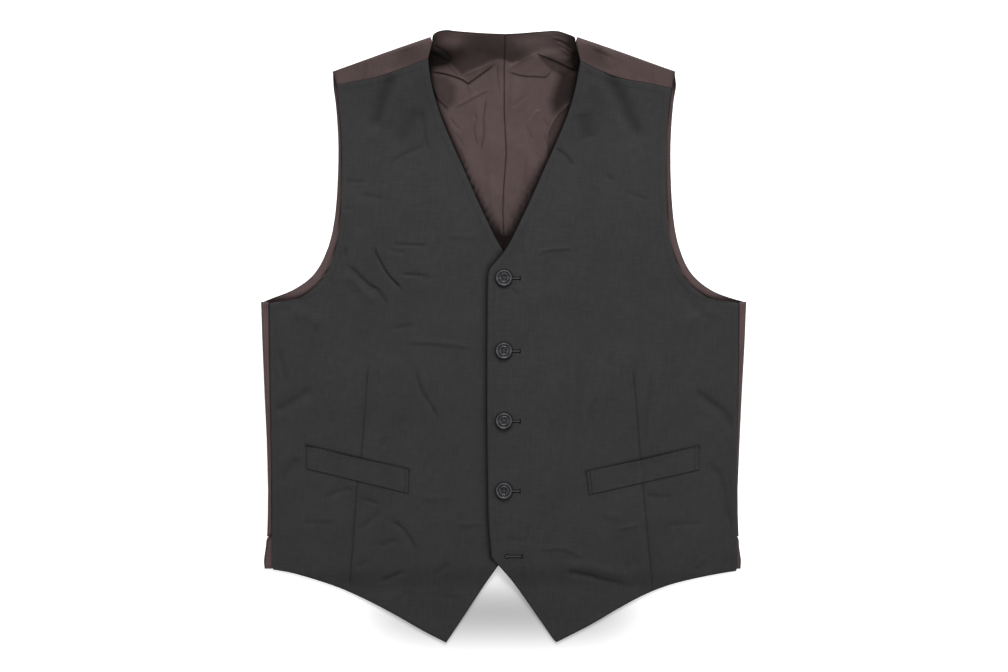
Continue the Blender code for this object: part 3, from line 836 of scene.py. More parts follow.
for which in ("left", "right"):
    row = welts[which]
    a, b, c, d = (np.array(p, float) for p in row["corners"])
    along = np.array([0.0012, 0.0035, 0.008])  # extra columns where the rim rounds over, and rows likewise
    u = np.unique(np.r_[np.linspace(0, 1, 110), along, 1 - along])
    down = np.array([0.006, 0.018, 0.04, 0.06])
    v = np.unique(np.r_[np.linspace(0, 1, 26), down, 1 - down])
    u, v = (g[..., None] for g in np.meshgrid(u, v))
    place = (1 - u) * ((1 - v) * a + v * d) + u * ((1 - v) * b + v * c)
    u, v = u[..., 0], v[..., 0]
    out, y = place[..., 0], place[..., 1]
    y = y - row["kink"] * smooth((u - 0.86) / 0.14) * (1 - v) + 0.5 * np.sin(u * 7 + 1) * (1 - v)
    near = toOutline(out, y, 12)
    middle, tone = frontMiddle(which, out, y)
    away, pull = dartPull(out, y, which)
    middle = middle + 0.35 * pull * bell(away, 0.9)  # a welt bridges the dart's seam
    tone = tone + dartShade(away, pull)
    half = rounded(near, welts["thickness"], 0.8)
    lift, reach = welts["free"]
    free = bell(v * np.hypot(*(d - a)), reach) * np.sin(np.clip(u, 0, 1) * math.pi) ** 0.5
    seat = layers["frontThickness"] / 2 + 0.1 + welts["thickness"] / 2
    run = u * np.hypot(*(b - a))
    stitched = sum(strength * bell(run - at, 0.6) for at, strength in welts["stitches"])
    middle = middle + seat + lift * free - 0.3 * stitched
    # Tone: darker along the stitched rows, and painted shade round the welt's rim
    tone = tone * (1 - 0.5 * stitched) * (1 - 0.5 * bell(near, 0.6))
    piece = clothShell(
        "welt" + which.title(), frontLook[which]["side"] * out, y, middle, half, ["charcoalWool"], tone, rim=6
    )
    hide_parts(row["node"])
print("welts laid")

# Each half of the back, by (out, y): it turns over the shoulder and round the side
backCut = {
    "shoulder": [(80.2, 326.9), (134, 309.3), (187.9, 289.9)],
    "inward": (-0.34, -0.94),
    "neck": {
        "left": [(78.1, 324.9), (76.2, 327.6), (67, 331), (57, 333.4), (43, 332.8), (20, 330.9)],
        "right": [(78.3, 325.4), (76.8, 330), (71, 333.2), (62, 334.4), (50, 333), (20, 330.7)],
    },
    "neckY": 329.8,
    "armholeTop": {
        "left": [(188.4, 274), (185.9, 258), (183.7, 234), (182.5, 208), (182.5, 182)],
        "right": [(186.4, 272), (184.5, 258), (182.4, 234), (181.3, 208), (181.5, 182)],
    },
    "armholeLow": {
        "left": [
            (182.5, 182), (183.9, 150), (186.5, 123), (191.2, 100), (199.6, 78), (210.6, 63), (227, 50.6),
            (244, 43.4),
        ],
        "right": [
            (181.5, 182), (183.2, 150), (186.3, 123), (191.7, 100), (201.2, 78), (213, 63), (231, 50.8),
            (252, 42.4),
        ],
    },
    "outline": {
        "left": [
            (265.4, 37.8), (263.5, -9), (260.6, -61), (258.1, -114), (256, -166), (256.1, -193),
            (257, -219),
        ],
        "right": [
            (265.9, 37.8), (264.4, -9), (262.2, -61), (259.7, -114), (258.3, -166), (258.5, -193),
            (259.3, -219),
        ],
    },
    "vent": {
        "left": [(257.1, -222), (257.9, -232), (259.7, -245), (259.2, -254.6)],
        "right": [(259.8, -222), (261.1, -232), (262.8, -245), (262.2, -254.6)],
    },
    "tuck": {"left": 1.9, "right": 0.0},  # how far the turned edge slips under the front, low on the side
}
inward = np.array(backCut["inward"]) / np.hypot(*backCut["inward"])
backRows = [34, 40, 70, 14]
backColumns = [40, 34]  # along the shoulder, and along the neck


# Radius of a turn-over: half the height between the middles of the back's cloth and the front's
def foldRadius(x, y):
    return (frontUnder(x, y) + layers["frontThickness"] / 2 - backMiddle(x, y)) / 2


# Line that the cloth turns round at the shoulder: a fold's radius inside the outline
def shoulderAxis(t):
    p = bezier(backCut["shoulder"], t)
    r = foldRadius(p[..., 0], p[..., 1] - 3) + layers["backThickness"] / 2
    return p + r[..., None] * inward


# The same down the side
def sideAxis(which, t):
    rows = np.array(backCut["outline"][which], float)
    y = rows[0, 1] + t * (rows[-1, 1] - rows[0, 1])
    x = np.interp(-y, -rows[:, 1], rows[:, 0])
    r = foldRadius(x - 3, y) + layers["backThickness"] / 2
    return np.stack([x - r, y], axis=-1)


# Plan of half the back or its lining: a Coons patch inside its outline. seam gives the centre line's place
def backPlan(which, u, v, seam):
    neckCorner, shoulder = shoulderAxis(np.array(0.0)), shoulderAxis(np.array(1.0))
    underarm, vent = sideAxis(which, np.array(0.0)), sideAxis(which, np.array(1.0))
    centreTop = np.array([seam(backCut["neckY"]), backCut["neckY"]])
    hemY = layers["backHem"]
    corner = np.array(backCut["vent"][which][-1], float)
    total = sum(backRows)
    stations = [backCut["neckY"], 205.0, 52.0, -214.0, hemY[0]]
    top = lambda t: joined([
        (backColumns[0], lambda s: shoulderAxis(1 - s)),
        (backColumns[1], lambda s: through([neckCorner, *backCut["neck"][which], centreTop], s)),
    ], t)
    outer = lambda t: joined([
        (backRows[0], lambda s: through([shoulder, *backCut["armholeTop"][which]], s)),
        (backRows[1], lambda s: through([*backCut["armholeLow"][which], underarm], s)),
        (backRows[2], lambda s: sideAxis(which, s)),
        (backRows[3], lambda s: through([vent, *backCut["vent"][which]], s)),
    ], t)

    def inner(t):
        y = np.interp(np.asarray(t) * total, np.r_[0, np.cumsum(backRows)], stations)
        return np.stack([seam(y), y], axis=-1)

    def bottom(t):
        x = corner[0] + t * (seam(hemY[0]) - corner[0])
        return np.stack([x, np.where(t > 0, backHemY(x), corner[1])], axis=-1)

    return patch(top, bottom, outer, inner, u, v)


# The cloth turned over an edge: half round the fold, then in along the fronts to its seam.
# w runs across: 0 to 1 goes round, 1 to 2 goes in
def turnedOver(axis, seamLine, outward, w, under):
    r = foldRadius(axis[..., 0], axis[..., 1])
    low = backMiddle(axis[..., 0], axis[..., 1])
    angle = math.pi * np.clip(w, 0, 1)
    share = np.clip(w - 1, 0, 1)[..., None]
    plan = axis + outward * (r * np.sin(angle))[..., None]
    plan = plan * (1 - share) + seamLine * share
    high = frontUnder(plan[..., 0], plan[..., 1]) + layers["frontThickness"] / 2 - under
    level = low + (high - low) * (1 - np.cos(angle)) / 2
    return plan[..., 0], plan[..., 1], level


# How the cloth over the shoulders is creased, and where it has painted shade (painted highlight where the
# share is below 0): (x, y, reach across, reach along, share of tone lost)
strapCreases = [
    (-1.2, 7, 0, 0.10, [(99, 316), (108, 300), (116, 284)]),
    (0.7, 2.6, 0.8, 0.10, [(160, 296), (163, 284), (164, 272)]),
    (-1.0, 8, 0, 0.10, [(-106, 318), (-113, 302), (-119, 284)]),
    (-0.6, 2.0, 0, 0.16, [(-150, 302), (-153, 286), (-153, 276)]),
    (-0.5, 1.6, 0, 0.14, [(88, 322), (98, 312), (108, 308), (120, 303)]),
    (0.5, 2.2, 0, -0.06, [(104, 314), (120, 306), (136, 300)]),
    (-0.4, 1.5, 0, 0.10, [(-90, 318), (-104, 312), (-118, 309)]),
]
strapShades = [
    (98, 303, 13, 14, 0.26), (-101, 306, 15, 12, 0.24), (84, 323, 8, 5, -0.35), (-86, 323, 9, 5, -0.30),
    (188.5, 281, 3.4, 10, 0.97), (-188.5, 281, 3.6, 11, 0.97), (114, 300, 5, 7, -0.16),
]


# Soft patches: dark x exp(-d^2), with d the distance as a share of the reaches
def blobs(x, y, rows):
    total = np.zeros(x.shape)
    for cx, cy, rx, ry, dark in rows:
        total += dark * np.exp(-(((x - cx) / rx) ** 2 + ((y - cy) / ry) ** 2))
    return total


# Several grids as one list of points, faces and tones: each is (x, y, z, tone, flip)
def joinGrids(grids):
    points, faces, tones = [], [], []
    for x, y, z, tone, flip in grids:
        index = np.arange(x.size).reshape(x.shape) + sum(len(p) for p in points)
        points.append(np.stack([x, y, z], axis=-1).reshape(-1, 3))
        faces.append(quads(index, flip))
        tones.append(tone.ravel())
    return np.vstack(points), np.vstack(faces), np.concatenate(tones)


for which, side in (("left", 1), ("right", -1)):
    v = np.linspace(0, 1, sum(backRows) + 1)
    u = np.linspace(0, 1, sum(backColumns) + 1)
    across, down = np.meshgrid(u, v)
    x, y = backPlan(which, across, down, lambda y: 0.15 + 0 * np.asarray(y, float))
    calm = smooth((across - 0.02) / 0.1) * smooth((1 - across) / 0.1)
    z = backMiddle(x, y) + 0.12 * (1 + uneven(x, y, 60, 3)) * calm
    grids = [(x, y, z, np.ones(x.shape), False)]
    # over the shoulder
    t = 1 - u[: backColumns[0] + 1] * sum(backColumns) / backColumns[0]
    w = np.unique(np.r_[np.linspace(0, 1, 13), np.linspace(1, 2, 25)])
    t, w = np.meshgrid(t, w)
    axis = shoulderAxis(t)
    seamLine = through(frontLook[which]["shoulderSeam"][::-1], t) - 0.2 * inward
    x, y, z = turnedOver(axis, seamLine, -inward, w, 0.0)
    lying = smooth((w - 0.7) / 0.4)
    waves = 0.35 * uneven(side * x, y, 34, 21) + 0.12 * uneven(side * x, y, 11, 4)
    rise, shade = creased(side * x, y, strapCreases)
    z = z + lying * (waves + rise) * smooth((2 - w) / 0.25)
    # painted shade where the cloth turns round the fold, with the painted shade and highlight of its creases
    # and patches
    shade = lying * (shade + blobs(side * x, y, strapShades)) + 0.24 * bell(w - 0.55, 0.25)
    grids.append((x, y, z, 1 - shade, True))
    # round the side
    first, last = sum(backRows[:2]), sum(backRows[:3])
    t = (v[first:last + 1] * sum(backRows) - first) / backRows[2]
    w = np.unique(np.r_[np.linspace(0, 1, 9), np.linspace(1, 2, 13)])
    w, t = np.meshgrid(w, t)
    axis = sideAxis(which, t)
    sideLine = through(frontLook[which]["sideEdge"], np.linspace(0, 1, 200))
    seamX = np.interp(-axis[..., 1], -sideLine[:, 1], sideLine[:, 0])
    tuck = backCut["tuck"][which] * smooth((-118 - axis[..., 1]) / 40)
    seamLine = np.stack([seamX + 0.25 - 1.2 * tuck, axis[..., 1]], axis=-1)
    x, y, z = turnedOver(axis, seamLine, np.array([1.0, 0.0]), w, tuck * smooth(w))
    lying = smooth((w - 0.7) / 0.4) * smooth((2 - w) / 0.3)
    ripple = w * 19 + 1.5 * np.sin(y / 17 + side)
    z = z + (0.14 * uneven(x, y, 15, 6) + 0.22 * np.sin(ripple)) * lying
    # Tone: painted shade on the turn and under the front's edge, painted light and shade along the ripples
    shade = 0.25 * bell(w - 0.5, 0.25) + 0.75 * bell(w - 2, 0.16) - 0.30 * lying
    shade = shade + 0.22 * np.cos(ripple) * lying + 0.10 * uneven(x, y, 26, 9) * lying
    grids.append((x, y, z, 1 - shade, True))
    points, faces, tones = joinGrids(grids)
    faces = (faces if side > 0 else faces[:, ::-1]).tolist()
    piece = newPiece("back" + which.title(), points * [side, 1, 1], faces, ["brownSatin"], tones)
    weld = piece.modifiers.new("weld", "WELD")
    weld.merge_threshold = 0.00002
    wall = piece.modifiers.new("cloth", "SOLIDIFY")
    wall.thickness = layers["backThickness"] * 0.001
    wall.offset = 0.0
    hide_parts("back_" + which)
print("back laid under, over the shoulders and round the sides")

# The back's lining, seen in the V and along the armholes
liningLook = {
    "seam": [(330, 1.4), (294, 0.3), (247, 0.3), (200, 2.6), (161, -0.4), (138, -1.2), (106, 0.0), (60, 0.0)],
    "inset": {"shoulder": 1.2, "side": 1.6, "hem": 3.0},
    "unevenness": 0.45,
    "neckRise": 2.6,
    "rows": 300,
    "columns": 132,
}
# Flaps where the lining is folded over: (height, reach, shade, line)
liningFlaps = [
    (1.5, 9, 0.72, [
        (-84, 290.5), (-63.5, 287.4), (-47, 282), (-40, 277.8), (-38.2, 277.3), (-36.5, 278.6), (-6, 301),
    ]),
    (1.0, 8, 0.50, [(2.5, 290.8), (20.3, 285.6), (33, 284.8), (44.5, 284.2), (47, 285.6), (53.5, 294)]),
    (2.0, 10, 0.62, [(34, 311), (42, 307), (54, 302.6), (66, 297), (82, 289.5)]),
    (0.8, 5, 0.44, [(-78, 274), (-73, 262), (-66, 254), (-59, 248)]),
    (1.1, 4, 0.40, [
        (74, 257.5), (66.8, 251), (57.5, 242.7), (51.9, 234.3), (49.1, 227.8), (46.3, 220.3), (48.6, 209),
        (48.2, 192.4),
    ]),
]
# Its creases: (height, width, lean, shade, line)
liningCreases = [
    (0.8, 2.2, 0, -0.16, [(-49, 285), (-30, 292.4), (-7, 303.5)]),
    (0.7, 2.0, 0, -0.12, [(-62, 300), (-54, 292), (-46, 284)]),
    (0.7, 2.2, 0, -0.12, [(2, 291.5), (10, 297), (18.4, 301.6), (27, 306), (36, 310.6)]),
    (0.5, 2.2, 0, -0.08, [(36, 310), (44, 303), (52.5, 293)]),
    (0.6, 3.5, 0.6, -0.04, [(-56, 250), (-34, 262), (-13, 273)]),
    (-0.5, 1.4, 0, 0.14, [(-54, 247.5), (-34, 259), (-15, 269)]),
    (-0.8, 1.4, 0.5, 0.34, [(-19, 264), (-22, 241), (-22, 221), (-27, 197)]),
    (0.6, 3.5, 0, -0.05, [(-26, 262), (-29, 240), (-30, 215)]),
    (-0.5, 1.3, 0, 0.22, [(-34, 248), (-30, 238), (-32, 224), (-28, 205)]),
    (-0.5, 1.4, 0, 0.20, [(-59, 239), (-52, 230), (-47, 226)]),
    (-0.4, 1.4, 0, 0.18, [(-57, 225), (-49, 217), (-43, 206)]),
    (-0.4, 1.4, 0, 0.16, [(-48, 206), (-45, 196), (-40, 183)]),
    (0.7, 2.2, 1, -0.08, [(26, 232), (37, 247), (48, 232)]),
    (-0.4, 1.3, 0, 0.18, [(38, 248), (44, 238), (49, 228)]),
    (-0.4, 1.8, 0, 0.10, [(7, 249), (16, 257), (26, 264)]),
    (-0.4, 1.6, 0, 0.14, [(22, 236), (28, 222), (33, 214)]),
    (-0.3, 1.4, 0, 0.14, [(30, 206), (37, 197), (44, 196)]),
    (-0.5, 1.2, 0, 0.30, [(-6.4, 299), (-7, 288), (-6, 276), (-4.6, 264)]),
    (0.35, 1.0, 0, 0.16, [(6.5, 294), (6.4, 270), (6.2, 247)]),
    (-0.4, 1.0, 0, 0.14, [(8.8, 292), (8.6, 270), (8, 250)]),
    (0.5, 5, 0, -0.04, [(-12, 236), (-14, 180), (-9, 120)]),
    (-0.4, 3, 0, 0.08, [(-20, 190), (-18, 160), (-10, 118)]),
    (-0.4, 2, 0, 0.09, [(24, 200), (24, 180), (22, 160)]),
    (-0.4, 1.2, 0, 0.22, [(-7, 120), (-4, 110), (-3, 98)]),
    (0.6, 1.6, 0, -0.45, [(50, 327), (60, 325), (72, 320)]),
    (-0.6, 1.3, 0, 0.35, [(54, 324), (64, 321), (76, 313)]),
    (0.6, 1.5, 0, -0.40, [(56, 321), (66, 317), (79, 308)]),
    (0.6, 1.5, 0, -0.30, [(60, 315), (68, 311), (78, 303)]),
    (-0.6, 1.4, 0, 0.25, [(-78, 318), (-68, 313), (-58, 306)]),
    (0.5, 1.4, 0, -0.30, [(-80, 313), (-70, 308), (-60, 302)]),
    (0.5, 1.3, 0, -1.1, [
        (74.6, 257), (67.4, 250.5), (58.1, 242.2), (52.5, 233.8), (49.7, 227.4), (47, 220), (49.2, 209),
    ]),
    (0.4, 3, 0.4, -0.05, [(-6, 117), (-8, 104), (-5, 92)]),
]
# Facets between its folds and the tone that each keeps, painted shade where the lining turns from the light;
# the last is the strip beside the neckline where the front's facing shows: (tone, softness, outline)
liningFacets = [
    (0.40, 3.0, [
        (-95, 350), (95, 350), (95, 284), (79, 291), (54, 302.6), (35, 310.5), (27, 306), (18.4, 301.6),
        (9, 299), (0, 303), (-7, 303), (-46.8, 285.7), (-60.7, 299.2), (-92, 294),
    ]),
    (0.80, 2.0, [(-86, 296), (-60.7, 299.2), (-46.8, 284.6), (-63.5, 287.4), (-86, 291)]),
    (0.74, 3.0, [(-46.8, 284.6), (-7, 301), (-21, 290), (-38.4, 277.2)]),
    (0.86, 2.5, [
        (3.5, 290.8), (18.4, 301.4), (35, 310), (44, 303), (51.9, 293.6), (44.5, 284.3), (20, 285.2),
    ]),
    (0.50, 4.0, [(37, 309), (53.8, 302), (80, 290), (66, 284), (52, 291)]),
    (0.56, 10.0, [(-82, 287), (-62, 284), (-52, 272), (-54, 257), (-62, 248), (-72, 258), (-82, 275)]),
    (0.20, 14.0, [(62, 290), (84, 288), (82, 268), (73, 257), (62, 245), (54, 244), (51, 258), (57, 275)]),
    (0.50, 0.9, [
        (76, 257.5), (66.8, 251), (57.5, 242.7), (51.9, 234.3), (49.1, 227.8), (46.3, 220.3), (48.6, 209),
        (48.2, 192.4), (54, 196), (66, 218), (82, 256),
    ]),
]
# Where it lies in hollows or catches light: (x, y, reach across, reach along, share of tone lost)
liningShades = [
    (-73, 306, 22, 11, 0.97), (-68, 302, 12, 7, 0.7), (-81, 301, 8, 10, 0.6), (75, 308, 12, 10, 0.80),
    (81, 298, 10, 12, 0.95), (-80, 328, 7, 8, 0.65), (76, 325, 9, 9, 0.60), (-56, 322, 13, 7, -1.5),
    (31, 321, 22, 9, -1.45), (-38, 330, 30, 2, -0.5), (50, 331, 14, 2, -0.8), (50, 311, 18, 5, -1.7),
    (66, 305, 9, 3, -0.9), (-48, 312, 5, 6, 0.25), (-8, 109, 7, 13, 0.97), (-1, 101, 7, 8, 0.97),
    (5, 106, 5, 9, 0.7),
    (187.5, 276, 3.5, 11, 0.95), (-187.5, 276, 3.5, 12, 0.97),
    (76, 262, 8, 12, 0.45), (30, 296, 14, 6, -0.06), (0, 220, 40, 60, -0.05), (16, 245, 14, 14, 0.07),
]
# Shade on the lining beside what lies on it: (dark, shares of the edge, widths there)
liningContact = {
    "left": (0.97, [0, 0.28, 0.42, 0.6, 0.8, 1], [5.0, 3.6, 5.0, 9.5, 10.0, 11.0]),
    "right": (0.98, [0, 0.2, 0.3, 0.55, 0.7, 1], [4.5, 3.0, 4.6, 4.4, 6.5, 9.5]),
    "armhole": (0.97, [0, 0.6, 0.8, 0.88, 0.94, 1], [1.0, 1.4, 2.0, 4.0, 6.0, 9.0]),
}


# Middle height of the lining and its shade. Its folds and creases are made only where it shows, in the V
def liningHeight(x, y, out):
    rise, shade = creased(x, y, liningCreases)
    flapRise, flapShade = flapped(x, y, liningFlaps)
    shown = smooth((95 - out) / 12) * smooth((y - 40) / 30)
    wave = liningLook["unevenness"] * uneven(x, y, 41, 17) + 0.1 * uneven(x, y, 13, 2)
    neck = liningLook["neckRise"] * smooth((y - 300) / 26) * smooth((96 - out) / 30)
    rise = np.maximum(rise + flapRise + 0.5 + wave, -0.5)
    middle = swell(x, y, backSwells) + layers["liningAt"] + (rise + neck) * shown
    return middle, (shade + flapShade) * shown


# Tone of the lining: its facets, painted shade and highlight in hollows and on folds, painted shade beside
# the fronts' edges and on its rim, a painted highlight round the armhole, and the seam down the middle
def liningTone(which, x, y, out, near, shade, seamX):
    tone = 1 - shade + 0.05 * uneven(x, y, 30, 12) + 0.035 * uneven(x, y, 12, 31)
    for kept, softness, outline in liningFacets:
        tone = tone * (1 - (1 - kept) * insideOf(x, y, outline, softness))
    tone = tone * (1 - blobs(x, y, liningShades))
    look = frontLook[which]
    neckline = through([look["shoulderSeam"][-1]] + frontCut["neckline"], np.linspace(0, 1, 60))
    armhole = [look["shoulderSeam"][0]] + frontCut["armholeTop"] + frontCut["armholeLow"][1:]
    armhole = through(armhole, np.linspace(0, 1, 50))
    crumple = 1.5 * uneven(x, y, 7, 77) * smooth((220 - y) / 60)  # makes the shade's border uneven
    tone = tone * (1 - underEdge(out + crumple, y, neckline, *liningContact[which]))
    tone = tone * (1 - underEdge(out, y, armhole, *liningContact["armhole"]))
    tone = tone * (1 + 0.26 * smooth((out - 150) / 20) * smooth((160 - y) / 60))  # lighter round the armhole
    tone = tone * (1 - 0.62 * bell(out - seamX, 0.6))
    return np.clip(tone * (1 - 0.28 * bell(near, 1.0)), 0.02, 1.5)


for which, side in (("left", 1), ("right", -1)):
    seamRows = np.array(liningLook["seam"], float)
    seam = lambda y: side * np.interp(-np.asarray(y, float), -seamRows[:, 0], seamRows[:, 1])
    total = sum(backRows)
    rows = liningLook["rows"]
    chest, underarm = np.cumsum(backRows[:2]) / total
    v = np.unique(np.r_[
        np.array([0, 0.1, 0.3, 0.7, 1.2]) / panel["length"], np.linspace(0.004, chest, int(0.62 * rows)),
        np.linspace(chest, underarm, int(0.38 * rows)), np.linspace(underarm, 1, 40),
        np.cumsum(backRows[:3]) / total, 1 - np.array([0, 0.3, 0.7, 1.3, 2.0, 3.0]) / panel["length"],
    ])
    u = np.unique(np.r_[
        np.array([0, 0.15, 0.5, 1.1, 2, 3.2, 5, 8]) / panel["width"], np.linspace(0.05, 0.42, 18),
        np.linspace(0.42, 0.988, liningLook["columns"]),
        1 - np.array([0, 0.12, 0.3, 0.6, 1.0, 1.6, 2.4]) / panel["width"], backColumns[0] / sum(backColumns),
    ])
    across, down = np.meshgrid(u, v)
    out, y = backPlan(which, across, down, seam)
    inset = liningLook["inset"]
    atShoulder = (down == 0) & (across < backColumns[0] / sum(backColumns))
    lower = smooth((40 - y) / 6) * (1 - smooth(across / 0.04))
    out = out - inset["side"] * lower + inset["shoulder"] * inward[0] * atShoulder
    y = y + inset["shoulder"] * inward[1] * atShoulder + inset["hem"] * (down == 1)
    x = side * out
    near = toOutline(out, y, 10)
    middle, shade = liningHeight(x, y, out)
    middle = middle - 0.35 * bell(out - seam(y), 1.1)
    tone = liningTone(which, x, y, out, near, shade, seam(y))
    name = "backLining" + which.title()
    half = rounded(near, layers["liningThickness"], 0.5)
    piece = clothShell(name, x, y, middle, half, ["brownLining"], tone, rim=4, step=4)
    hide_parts("back_lining_" + which)
    print(name, "laid with its folds,", len(piece.data.polygons), "faces")

# Highest point of the top front round a place
def frontTop(x, y, reach=8.0):
    gx, gy = np.meshgrid(np.linspace(x - reach, x + reach, 9), np.linspace(y - reach, y + reach, 9))
    return float((frontMiddle("left", gx, gy)[0]).max()) + layers["frontThickness"] / 2


# A turned button: the profile goes round in steps, and the holes are sunk in its top
def makeButton(number, y):
    t = np.r_[np.linspace(0, 0.12, 27)[1:], np.linspace(0.12, 0.66, 66)[1:], np.linspace(0.66, 1, 16)[1:-1]]
    profile = through(button["profile"], t)
    turn = np.linspace(0, 2 * math.pi, button["around"], endpoint=False)
    r, z = profile[:, 0][:, None], profile[:, 1][:, None]
    px, py = r * np.cos(turn), r * np.sin(turn)
    pz = np.broadcast_to(z, px.shape).copy()
    ring, hole = button["holes"]
    spin = math.radians(button["turn"][number - 1])
    isTop = (np.arange(len(t)) < button["topRows"])[:, None]
    # painted highlight on the rim and the inner ring, painted shade in the groove between them
    tone = (1 + sum(gain * bell(r - at, width) for at, width, gain in button["paintedRings"])) * np.ones(px.shape)
    for k in range(4):
        a = spin + math.pi / 4 + k * math.pi / 2
        away = np.hypot(px - ring * math.cos(a), py - ring * math.sin(a))
        sunk = smooth((hole - away) / 0.22 + 0.5) * isTop
        pz = pz - button["depth"] * sunk
        # painted shade in the sunk holes
        tone = tone * (1 - 0.95 * sunk)
    leanX, leanY = button["lean"][number - 1]
    pz = pz + leanX * px + leanY * py
    count = px.size
    points = np.vstack([
        np.stack([px, py, pz], axis=-1).reshape(-1, 3),
        [[0, 0, button["profile"][0][1]], [0, 0, 0]],
    ])
    index = np.arange(count).reshape(px.shape)
    index = np.c_[index, index[:, 0]]
    faces = quads(index, True).tolist()
    faces += [[count, int(a), int(b)] for a, b in zip(index[0], index[0, 1:])]
    faces += [[count + 1, int(b), int(a)] for a, b in zip(index[-1], index[-1, 1:])]
    seat = frontTop(0, y) + 0.1
    points = points + [0, y, seat]
    made = newPiece(f"button{number}", points, faces, ["charcoalButton"], np.r_[tone.ravel(), 1, 1])
    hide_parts(f"button_{number}")
    # sewing thread: two strands from hole to hole each way
    strands = []
    for k in range(2):
        a = spin + math.pi / 4 + k * math.pi / 2
        for shift in (-0.22, 0.22):
            s = np.linspace(-1, 1, 25)
            px = ring * s * math.cos(a) - shift * math.sin(a)
            py = ring * s * math.sin(a) + shift * math.cos(a) + y
            pz = seat + 2.0 + (0.42 + 0.22 * k) * (1 - s**6) - 1.2 * np.abs(s) ** 9
            strands.append((np.stack([px, py, pz], 1), 0.24, 8))
    sewn = threads(f"buttonThread{number}", strands, "charcoalThread", 1.3)
    return made, sewn


onLeft = []
for number, y in enumerate(button["at"], start=1):
    onLeft += makeButton(number, y)
print("buttons turned and sewn on")


buttonhole = {
    # height of each, and its outer end
    "at": [(63.4, 17.3), (-16.2, 17.3), (-92.8, 17.4), (-169.1, 17.2), (-240.4, 19.4)],
    "eyelet": (3.4, 1.35),  # its middle, and the radius of the stitches round it
    "gap": 0.45,
    "slitShadow": 1.15,  # the shaded grooves beside the lips
    "thread": 0.42,
    "stitch": 0.62,
    "bar": 2.6,
}


# A path that lies on the top front, lifted by lift
def onFront(x, y, lift):
    x, y = np.asarray(x, float), np.asarray(y, float)
    z = frontMiddle("left", x, y)[0] + layers["frontThickness"] / 2 + lift
    return np.stack([x, y, z], axis=-1)


# Keyhole of purled stitches: round the eyelet and along both lips. Painted shadow in near-black thread lies
# along the grooves beside them and round the eyelet, and a bar tack in the same thread goes across the outer
# end
for number, (y, end) in enumerate(buttonhole["at"], start=1):
    middle, radius = buttonhole["eyelet"]
    gap = buttonhole["gap"]
    opening = math.asin(gap / radius)
    around = np.linspace(opening, 2 * math.pi - opening, 70)
    lips = np.linspace(0, 1, 120)
    startX = middle + radius * math.cos(opening)
    px = np.r_[end + (startX - end) * lips, middle + radius * np.cos(around), startX + (end - startX) * lips]
    py = np.r_[np.full(120, gap), radius * np.sin(around), np.full(120, -gap)] + y
    path = onFront(px, py, 0.12)
    run = np.r_[0, np.cumsum(np.hypot(np.diff(px), np.diff(py)))]
    radiusAlong = buttonhole["thread"] * (1 + 0.22 * np.cos(run * 2 * math.pi / buttonhole["stitch"]))
    strands = [(path, radiusAlong, 8)]
    stitched = threads(f"buttonhole{number}", strands, "charcoalThread", 1.6)
    slitX = np.linspace(middle + radius + 1.2, end - 0.3, 30)
    grooves = [y + side * buttonhole["slitShadow"] + 0 * slitX for side in (-1, 1)]
    strands = [(onFront(slitX, grooveY, 0.14), 0.42, 8) for grooveY in grooves]
    ring = radius + 0.8
    strands.append((onFront(middle + ring * np.cos(around), y + ring * np.sin(around), 0.14), 0.45, 8))
    for k in range(3):
        s = np.linspace(-buttonhole["bar"], buttonhole["bar"], 24)
        strands.append((onFront(end + 0.1 + 0.26 * k + 0 * s, y + s, 0.2 + 0.1 * np.cos(s)), 0.26, 6))
    slitShadow = threads(f"buttonholeShadow{number}", strands, "shadowThread")
    onLeft += [stitched, slitShadow]
print("buttonholes worked")


# Flat size of a front's piece: width and length of its outline, in metres
def planSize(piece):
    places = np.empty(3 * len(piece.data.vertices), dtype=np.float32)
    piece.data.vertices.foreach_get("co", places)
    points = places.reshape(-1, 3)[:, :2].astype(float)
    return points.max(0) - points.min(0)


for which in ("left", "right"):
    width, length = (float(a) for a in planSize(fronts[which]))


# The floor's white, the soft band of painted shadow (height, reach along and across, strength) and the
# paper's glow
stageLook = {
    "floor": 0.97,
    "shadowAt": -0.302,
    "shadowWidth": 0.050,
    "shadowHalf": 0.165,
    "shadow": 0.67,
    "glow": 0.45,
}

floorMesh = bpy.data.meshes.new("floor")
floorMesh.from_pydata([(-6, -6, 0), (6, -6, 0), (6, 6, 0), (-6, 6, 0)], [], [(0, 1, 2, 3)])
floor = bpy.data.objects.new("floor", floorMesh)
floor.location.z = -0.0004
bpy.context.scene.collection.objects.link(floor)
tree, shader = newFinish("floorPaper", 0.9, Specular_IOR_Level=0.1)
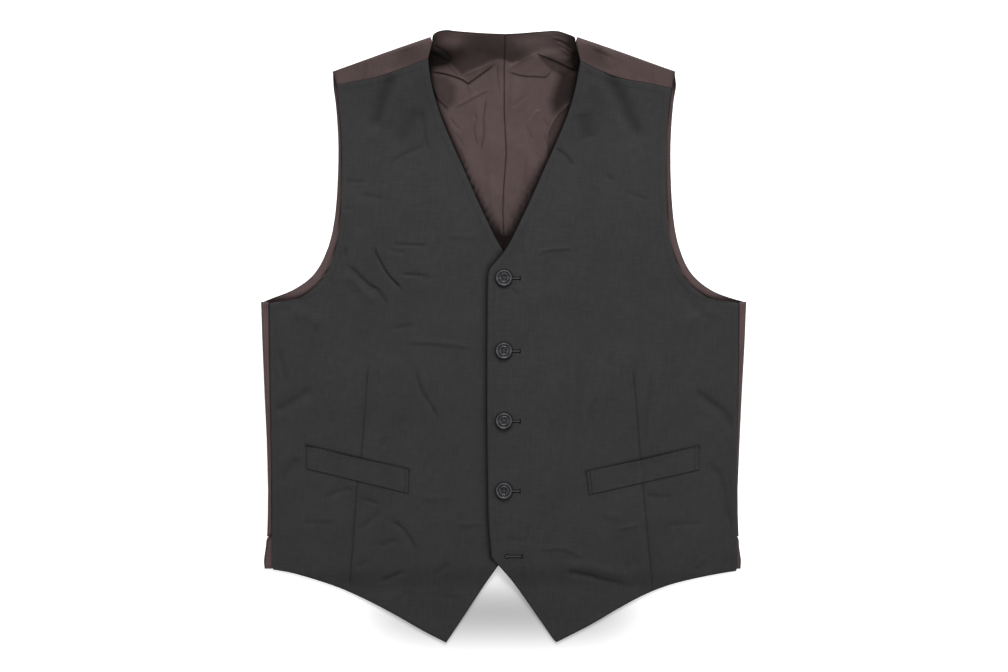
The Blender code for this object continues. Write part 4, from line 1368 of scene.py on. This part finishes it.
# a painted shadow under the points: white x (1 - shadow x exp(-(y/width)^2 - (x/half)^4))
place = tree.nodes.new("ShaderNodeTexCoord")
apart = tree.nodes.new("ShaderNodeSeparateXYZ")
tree.links.new(place.outputs["Object"], apart.inputs[0])
below = addMath(tree, "SUBTRACT", apart.outputs[1], stageLook["shadowAt"])
alongY = addMath(tree, "DIVIDE", below, stageLook["shadowWidth"])
alongX = addMath(tree, "DIVIDE", apart.outputs[0], stageLook["shadowHalf"])
squareY = addMath(tree, "POWER", addMath(tree, "ABSOLUTE", alongY), 2.0)
fourthX = addMath(tree, "POWER", addMath(tree, "ABSOLUTE", alongX), 4.0)
power = addMath(tree, "MULTIPLY", addMath(tree, "ADD", squareY, fourthX), -1.0)
band = addMath(tree, "MULTIPLY", addMath(tree, "POWER", math.e, power), -stageLook["shadow"])
white = addMath(tree, "MULTIPLY", addMath(tree, "ADD", band, 1.0), stageLook["floor"])
tree.links.new(white, shader.inputs["Base Color"])
tree.links.new(white, shader.inputs["Emission Color"])
shader.inputs["Emission Strength"].default_value = stageLook["glow"]
floorMesh.materials.append(palette["floorPaper"])


# A softbox that points at the middle of the waistcoat
def addLight(name, place, size, power):
    data = bpy.data.lights.new(name, "AREA")
    data.shape = "RECTANGLE"
    data.size, data.size_y = size
    data.energy = power
    light = bpy.data.objects.new(name, data)
    light.location = place
    toMiddle = -light.location
    light.rotation_euler = toMiddle.to_track_quat("-Z", "Y").to_euler()
    bpy.context.scene.collection.objects.link(light)


addLight("topSoftbox", (0.15, 2.0, 1.35), (1.6, 0.8), 62)
addLight("leftSoftbox", (-2.0, 0.2, 1.3), (0.8, 1.4), 14)
addLight("rightSoftbox", (2.0, 0.2, 1.3), (0.8, 1.4), 20)
addLight("overhead", (0.0, 0.2, 2.6), (2.0, 1.6), 16)

bpy.context.scene.view_settings.view_transform = "Standard"

world = bpy.data.worlds.new("studio")
world.use_nodes = True
world.node_tree.nodes["Background"].inputs["Color"].default_value = (1, 1, 1, 1)
world.node_tree.nodes["Background"].inputs["Strength"].default_value = 0.22
bpy.context.scene.world = world

cameraData = bpy.data.cameras.new("camera")
cameraData.lens = 70
cameraData.sensor_width = 36
camera = bpy.data.objects.new("camera", cameraData)
camera.location = (0.0001, 0.0003, 2.148)
bpy.context.scene.collection.objects.link(camera)
bpy.context.scene.camera = camera
print("floor, lights and camera set")
